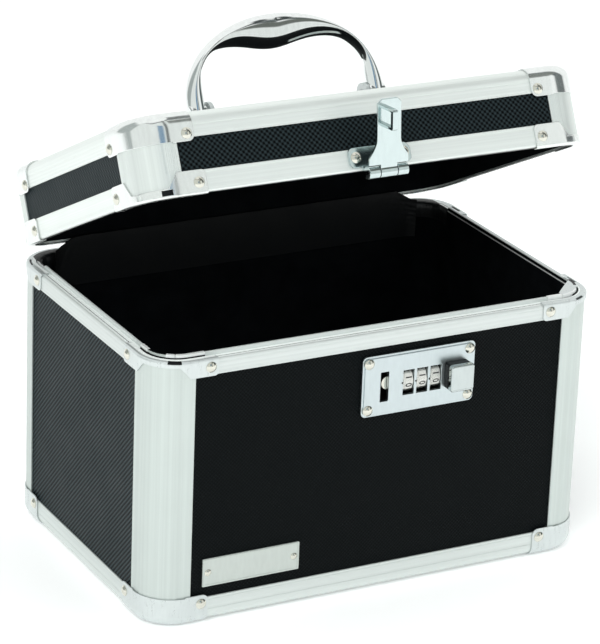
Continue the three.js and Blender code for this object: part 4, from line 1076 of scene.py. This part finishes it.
def hasp_mount():
    """The riveted plate with its two knuckles and the pin."""
    form = Form()
    y = -HALF_D - CAP_FACE
    z0 = LID_LOW + 1.7
    middle = z0 + HASP_PLATE_H / 2
    outline = rounded(HASP_PLATE_W, HASP_PLATE_H, (4.6, 3, 2.4, 2.4), HASP_X, middle)
    form.add(plate([outline], 0, HASP_PLATE_T, 0.3), HASP, on_front(y))
    half, gap = HASP_BARREL / 2, HASP_MIDDLE / 2 + 0.3
    low, high = HASP_Y + 3.1, y - 0.4
    strap = [(low, HASP_Z), (high, HASP_Z), (high, z0 + 1.2), (low, z0 + 0.2)]
    for a, b in ((HASP_X - half, HASP_X - gap), (HASP_X + gap, HASP_X + half)):
        form.add(rod(HASP_KNUCKLE, b - a, 0.3), HASP, along_x(a, HASP_Y, HASP_Z))
        form.add(bar(strap, a + 0.1, b - 0.1), HASP)
    form.rivets([(HASP_X + s * HASP_RIVET, y - HASP_PLATE_T, middle) for s in (-1, 1)])
    pin = along_x(HASP_X - half + 0.1, HASP_Y, HASP_Z)
    form.add(rod(HASP_PIN, HASP_BARREL - 0.2, 0.3), STEEL, pin)
    return form


def hasp_arm():
    """The arm hangs down from its pin in its own frame, with the staple pointing back."""
    form = Form()
    wide, neck = HASP_BARREL / 2, ARM_W / 2
    side = [
        (wide - 0.1, HASP_KNUCKLE + 0.6), (wide, HASP_KNUCKLE + 1.0), (wide, ARM_FOOT - 0.6),
        (wide - 0.3, ARM_FOOT + 0.5), (neck + 2.1, 11.4), (neck + 1.0, 13.6), (neck + 0.3, 15.4),
        (neck, ARM_NECK), (neck, ARM_L - 2.9), (neck - 0.3, ARM_L - 2.1),
        (neck - 2.1, ARM_L - 0.3), (neck - 2.9, ARM_L),
    ]
    outline = [(x, -r) for x, r in side] + [(-x, -r) for x, r in reversed(side)]
    form.add(plate([outline], 0, ARM_T, 0.35), HASP, shift(HASP_X, ARM_FACE, 0) @ FRONT_UP)
    half = HASP_MIDDLE / 2
    form.add(rod(HASP_KNUCKLE, HASP_MIDDLE, 0.3), HASP, along_x(HASP_X - half, 0, 0))
    strap = [(1.4, -5.2), (ARM_FACE - 0.02, -5.2), (ARM_FACE - 0.02, 0), (1.2, 0)]
    form.add(bar(strap, HASP_X - half + 0.1, HASP_X + half - 0.1), HASP)
    y0, y1 = ARM_FACE - 0.5, ARM_FACE + STAPLE_REACH
    z0, z1 = LOCK_Z - HASP_Z - STAPLE_HALF, LOCK_Z - HASP_Z + STAPLE_HALF
    bow = [
        (y0, z0), *arc(y1 - 1.5, z0 + 1.5, 1.5, 270, 360, 5),
        *arc(y1 - 1.5, z1 - 1.5, 1.5, 0, 90, 5), (y0, z1),
        (y0, z1 - 1.6), *arc(y1 - 3.0, z1 - 2.2, 0.6, 90, 0, 3),
        *arc(y1 - 3.0, z0 + 2.2, 0.6, 0, -90, 3), (y0, z0 + 1.6),
    ]
    form.add(plate([bow], 0, STAPLE_T, 0.25), HASP, on_side(SLOT_X - STAPLE_T / 2))
    return form


hasp_mount().piece("hasp_mount", "struck", "lid", "lock")
hasp_arm().piece("hasp_arm", "struck", "hasp", "lock", ARM)


# Handle

# The arch's outer and inner curve, each as (half width, height, power), and the grip's dip
OUTER, INNER, BELLY, BELLY_W = (58.9, 48.78, 2.1), (48.3, 34.5, 4.6), 4.7, 18.5
BRACKET_X, BRACKET_T, BOSS_R, PIN_R = INNER[0] - 0.5, 2.4, 5.3, 2.2
ARCH_W, GRIP_MORE = 10.6, 3.4  # its width at the feet, and what the grip adds


def arch(size, t, belly=0.0):
    """A superellipse from the right foot over the top to the left. t goes from 0 to 1."""
    half, height, power = size
    c, s = cos(pi * t), sin(pi * t)
    x = copysign(half * abs(c) ** (2 / power), c)
    z = height * abs(s) ** (2 / power)
    return x, z - belly * exp(-(((x + 4) / BELLY_W) ** 2))


def handle():
    """The arch with its two bosses and pins, about the handle's own axis."""
    rings, count, sides = [], 120, 36
    for i in range(count + 1):
        even = cos(pi * i / count)
        t = acos(even * abs(even) ** 1.3) / pi
        ox, oz = arch(OUTER, t)
        ix, iz = arch(INNER, t, BELLY)
        grip = sin(pi * t) ** 2
        b = (ARCH_W + GRIP_MORE * grip) / 2
        ring = []
        for k in range(sides):
            a = 2 * pi * k / sides
            u = (1 + cos(a)) / 2
            ring.append((ix + (ox - ix) * u, b * sin(a), iz + (oz - iz) * u))
        rings.append(ring)
    form = Form().add(loft(rings), GRIP_CHROME)
    for s in (-1, 1):
        lo, hi = sorted((s * (INNER[0] + 0.3), s * (OUTER[0] - 0.3)))
        form.add(rod(BOSS_R, hi - lo, 1.2, 40), GRIP_CHROME, along_x(lo, 0, 0))
        lo, hi = sorted((s * (BRACKET_X - BRACKET_T - 1.2), s * (INNER[0] + 1)))
        form.add(rod(PIN_R, hi - lo, 0.4), STEEL, along_x(lo, 0, 0))
    return form


def bracket(side):
    """An upright ear with a foot on the lid's top, drawn for the right side."""
    z0 = LID_TOP - TRIM_T + SEAT
    form = Form()
    ear = [(-7.5, z0), (7.5, z0), *arc(0, HANDLE_Z, 6, 0, 180, 20)]
    hole = arc(0, HANDLE_Z, PIN_R + 0.07, 0, 345, 23)
    form.add(plate([ear, hole], 0, BRACKET_T, 0.3), CAP, on_side(BRACKET_X - BRACKET_T))
    foot, thick = 9, 1.4
    form.add(plate([rounded(foot, 18, 1.5, BRACKET_X - foot / 2, 0)], z0, z0 + thick, 0.3), CAP)
    form.add(rivet(2.2, 1.0), RIVET, shift(BRACKET_X - foot * 0.62, 0, z0 + thick))
    place = LID @ shift(HANDLE_X, 0, 0) @ (turned(180, "Z") if side < 0 else HERE)
    form.piece("handle_bracket_" + SIDES[side], "struck", "lid", "handle", place)


handle().piece("handle", "cast", "carry_handle", "handle", GRIP, 50)
for side in SIDES:
    bracket(side)


# Back hinges


def hinge(side, direction, reach):
    """One leaf. direction is 1 for the lid's, above the pin, and -1 for the case's, below it."""
    form = Form()
    x, y0, z = side * HINGE_X, HALF_D + CAP_FACE, HINGE_Z
    third, clear = HINGE_W / 3, HINGE_KNUCKLE + 0.5
    a, b = sorted((z + direction * clear, z + direction * reach))
    back = Matrix(((-1, 0, 0, 0), (0, 0, 1, y0), (0, 1, 0, 0), (0, 0, 0, 1)))
    leaf = rounded(HINGE_W, b - a, 1.2, -x, (a + b) / 2)
    form.add(plate([leaf], 0, LEAF_T, 0.25), STEEL, back)
    if direction > 0:
        runs = [(x - third / 2 + 0.15, x + third / 2 - 0.15)]
    else:
        runs = [(x - HINGE_W / 2, x - third / 2 - 0.15), (x + third / 2 + 0.15, x + HINGE_W / 2)]
    for p, q in runs:
        form.add(rod(HINGE_KNUCKLE, q - p, 0.3), STEEL, along_x(p, HINGE_Y, z))
        lo, hi = sorted((z, z + direction * (clear + 0.5)))
        form.add(bar(box(y0 + 0.05, lo, y0 + LEAF_T - 0.05, hi), p + 0.1, q - 0.1), STEEL)
    heads = [(x + s * third, y0 + LEAF_T, z + direction * (reach - 4)) for s in (-1, 1)]
    form.rivets(heads, (0, 1, 0), (2.2, 1.1))
    if direction < 0:
        form.add(rod(1.3, HINGE_W - 0.4, 0.2), STEEL, along_x(x - HINGE_W / 2 + 0.2, HINGE_Y, z))
    body = "lid" if direction > 0 else "case"
    form.piece(f"hinge_{SIDES[side]}_{body}", "rolled", body, "trim")


for side in SIDES:
    hinge(side, 1, 15)
    hinge(side, -1, 19)


# Soft parts: the case's felt lining, and the cloth strip that covers the hinges

LOCK_HOLE = (-7.1, 53.7, 103.7, 131.3)  # the opening for the lock's housing, x then z
HEM_TOP = {"side": RIM_TOP + TONGUE_H - 0.3, "back": RIM_TOP - 0.1}


def lining():
    """Felt on the walls and floor. It is folded thinner over the rim trim's inner leg."""
    wall, leg = WALL + SEAT, WALL + TRIM_T + SEAT
    inner = wall + LINING_T
    floor_z, ledge = 6.7, 140.3
    form = Form()
    front = front_path()
    left, right = [(x, -HALF_D, 0, -1) for x in (LOCK_HOLE[0], LOCK_HOLE[1])]
    around = [right, *path(FR), *path(BR), *path(BL), *path(FL), left]
    below, above = (floor_z, LOCK_HOLE[2], [left, right]), (LOCK_HOLE[3], ledge, [left, right])
    runs = ((floor_z, ledge, around), below, above)
    for z0, z1, places in runs:
        form.add(sweep(box(-wall, z0, -inner, z1), places), FELT)
    stub = [front[-1], *path(BR), *path(BL), front[0]]
    for top, places in ((HEM_TOP["side"], front), (HEM_TOP["back"], stub)):
        hem = [(-leg, ledge - 0.1), (-inner, ledge - 0.1), (-inner, top - 0.15),
               (-inner + 0.1, top), (-leg, top)]
        form.add(sweep(hem, places), FELT)
    # A thin bead along the felt under the tongue, in the lip's lighter nickel: a painted highlight
    # line.
    bead = [(-inner + 0.02, RIM_TOP - 0.35), (-inner - 0.16, RIM_TOP - 0.25),
            (-inner - 0.16, RIM_TOP + 0.35), (-inner + 0.02, RIM_TOP + 0.45)]
    form.add(sweep(bead, front), LIP)
    mat = [(x - nx * (inner + 0.05), y - ny * (inner + 0.05)) for x, y, nx, ny in whole_path(8)]
    form.add(plate([mat], floor_z, floor_z + LINING_T, 0.1, 1), FELT)
    return form


def hinge_cover():
    """A cloth strip inside the back wall. It stands over the rim, creased near its ends."""
    half, over = HALF_W - CORNER_R - 0.5, 2.6
    y = HALF_D - WALL - LINING_T - 2 * SEAT
    columns, rows = 150, 26
    front, back = [], []
    for i in range(columns + 1):
        u = i / columns
        x = (2 * u - 1) * (half + over)
        end = max(0, abs(x) - (half - 9.5)) / 9.5
        top = RIM_TOP + COVER_UP - COVER_DIP * min(1, end)
        bend = max(0, abs(x) - half + 3.5) ** 2 * 0.07
        crease = max(0, abs(x) - half + CREASED) / CREASED
        for k in range(rows + 1):
            v = k / rows
            z = RIM_TOP - COVER_DOWN + (top - RIM_TOP + COVER_DOWN) * v
            wave = 0.13 * sin(x * 0.21 + 2 * v) * v
            fold = 0.3 * crease * v * sin(x * 0.9 + z * 0.8)
            fold += 0.2 * crease * sin(z * 1.4 - x * 0.5)
            at = y - COVER_T - bend - 0.3 * v + wave - abs(fold)
            front.append((x, at, z))
            back.append((x, min(y, at + COVER_T * 0.75), z))
    n = rows + 1
    verts, count = front + back, len(front)
    faces = []
    for i in range(columns):
        for k in range(rows):
            a = i * n + k
            quad = [a, a + 1, a + n + 1, a + n]
            faces += [quad, [count + q for q in reversed(quad)]]
    edge = [*range(n), *(i * n + rows for i in range(1, columns + 1))]
    edge += [columns * n + k for k in reversed(range(rows))]
    edge += [i * n for i in reversed(range(1, columns))]
    for a, b in zip(edge, edge[1:] + edge[:1]):
        faces.append([a, b, count + b, count + a])
    form = Form().add((verts, faces), CLOTH)
    for turn in (BL, BR):
        form.add(corner_cloth(turn), CLOTH)
    return form


def corner_cloth(turn):
    """The cover's end, folded outwards over the rim round a back corner."""
    back = turn == BL
    places = path(turn, (9, TONGUE_STOP - 0.3) if back else (TONGUE_STOP - 0.3, 9), 36)
    inner, top = WALL + TRIM_T + SEAT, RIM_TOP + SEAT + CAP_T + 0.02
    rings = []
    for i, (x, y, nx, ny) in enumerate(places):
        fold = 0.35 * abs(sin(i * 0.9)) + 0.25 * abs(sin(i * 0.37 + 1))
        share = min(1, max(0, (i if back else len(places) - 1 - i) - 20) / 11)
        edge = -1.3 - (inner - 1.7) * share
        felt_face = -inner - LINING_T
        section = [
            (felt_face - 0.1, 139), (felt_face - 0.3 - fold, 144), (-inner - 0.9 - fold, 146.9),
            (min(edge, -inner + 0.2) - 0.05, top + 0.1), (edge, top + 0.1),
            (edge, top), (min(edge, -inner + 0.5) - 0.02, top), (-inner - 0.6, 146.7),
            (felt_face + 0.4, 144), (felt_face + 0.2, 139),
        ]
        rings.append([(x + nx * o, y + ny * o, z) for o, z in section])
    return loft(rings)


lining().piece("case_lining", "felt", "case", "felt")
cover = hinge_cover().piece("hinge_cover", "felt", "case", "felt", sharp=60)

# Boards, linings and the lock's inner parts keep their own solids.
FINISH = {
    "panel_front": FRONT, "panel_back": FRONT, "panel_left": SIDE, "panel_right": SIDE,
    "panel_base": FLAT, "lid_board": LID_FLAT, "lid_side_front": LID_FRONT,
    "lid_side_back": LID_FRONT, "lid_side_left": LID_SIDE, "lid_side_right": LID_SIDE,
    "lid_lining": FELT, "lock_housing": HOUSING, "dial_spindle": HOUSING,
}
for node, look in FINISH.items():
    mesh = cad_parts[node].data
    mesh.materials.clear()
    mesh.materials.append(look)


# Floor, light and camera


def floor():
    mesh = bpy.data.meshes.new("floor")
    s = 6
    mesh.from_pydata([(-s, -s, 0), (s, -s, 0), (s, s, 0), (-s, s, 0)], [], [(0, 1, 2, 3)])
    look = Look("pale_floor", (0.95, 0.955, 0.955), 0.9, Specular_IOR_Level=0.1)
    look.set(look.bsdf, "Emission Color", (1, 1, 1, 1))
    look.set(look.bsdf, "Emission Strength", 0.2)
    grain = look.noise(look.place(), 0.02, 3)
    look.color(grain, (0.945, 0.95, 0.95), (0.955, 0.96, 0.96))
    mesh.materials.append(look.mat)
    put("floor", mesh)


def softbox(name, at, power):
    """A square light that shines at the case."""
    aim, size = (0, 0, 0.1), 1.6
    light = bpy.data.lights.new(name, "AREA")
    light.shape, light.size, light.size_y, light.energy = "RECTANGLE", size, size, power
    obj = put(name, light)
    obj.location = at
    obj.rotation_euler = (Vector(aim) - Vector(at)).to_track_quat("-Z", "Y").to_euler()
    obj.visible_camera = False
    obj.visible_glossy = False


WALLS = (0.98, 1.0, 0.99)
# Each is ((from, to, softness) in azimuth, the same in elevation), both in degrees, and a shade.
ROOM = [
    (((-180, -58, 12), (4, 58, 8)), (0.80, 0.84, 0.82)),
    (((-78, -71, 2), (2, 62, 4)), (0.05, 0.06, 0.06)),
    (((-31, -5, 5), (2, 60, 6)), (0.10, 0.12, 0.12)),
    (((-180, 20, 10), (63, 67, 2)), (0.06, 0.07, 0.07)),
    (((-101, -86, 3), (17, 37, 4)), (0.15, 0.27, 0.4)),
    (((130, 181, 10), (2, 45, 8)), (0.38, 0.42, 0.41)),
    (((-56, -8, 5), (40, 55, 5)), (0.15, 0.165, 0.15)),
]


def studio():
    """The room's own light: white walls, a few darker gaps that the bright metal shows."""
    world = bpy.data.worlds.new("studio")
    bpy.context.scene.world = world
    world.use_nodes = True
    tree = Tree(world.node_tree)
    tree.nodes.clear()
    x, y, z = tree.split(tree.add("ShaderNodeTexCoord").outputs["Generated"])
    turn = tree.math("MULTIPLY", tree.math("ARCTAN2", y, x), 180 / pi)
    rise = tree.math("MULTIPLY", tree.math("ARCSINE", z), 180 / pi)

    def band(value, low, high, soft):
        """1 between low and high, with soft edges."""
        up = tree.math("DIVIDE", tree.math("SUBTRACT", value, low - soft), soft)
        down = tree.math("DIVIDE", tree.math("SUBTRACT", high + soft, value), soft)
        both = tree.math("MINIMUM", up, down)
        clamp = tree.add("ShaderNodeClamp")
        tree.link(both, clamp.inputs[0])
        return clamp.outputs[0]

    color = WALLS
    for (azimuth, elevation), shade in ROOM:
        mask = tree.math("MULTIPLY", band(turn, *azimuth), band(rise, *elevation))
        color = tree.mix(mask, color, shade)
    back, seen = tree.add("ShaderNodeBackground"), tree.add("ShaderNodeBackground")
    tree.link(color, back.inputs["Color"])
    tree.set(seen, "Color", (1, 1, 1, 1))
    rays = tree.add("ShaderNodeLightPath")
    mixed = tree.add("ShaderNodeMixShader")
    out = tree.add("ShaderNodeOutputWorld")
    sources = (rays.outputs["Is Camera Ray"], back.outputs[0], seen.outputs[0])
    for source, socket in zip(sources, mixed.inputs):
        tree.link(source, socket)
    tree.link(mixed.outputs[0], out.inputs[0])


def camera():
    """The photograph's camera, as fitted to its points. Its focal length is in pixels."""
    focal, height, sensor = 3264.54, 644, 36
    data = bpy.data.cameras.new("camera")
    data.sensor_width, data.lens = sensor, focal * sensor / height
    data.clip_start, data.clip_end = 0.05, 50
    obj = put("camera", data)
    right = (0.884404, -0.465298, 0.036430)
    down = (-0.139913, -0.338781, -0.930404)
    ahead = (0.445257, 0.817756, -0.364721)
    turn = Matrix((right, [-v for v in down], [-v for v in ahead])).transposed().to_4x4()
    obj.matrix_world = Matrix.Translation((-0.784597, -1.436860, 0.761430)) @ turn
    bpy.context.scene.camera = obj


floor()
studio()
softbox("key", (-1.6, -1.4, 2.2), 36)
softbox("fill", (1.8, -1.2, 1.6), 14)
camera()
bpy.context.scene.view_settings.view_transform = "Standard"
bpy.context.scene.view_settings.look = "None"
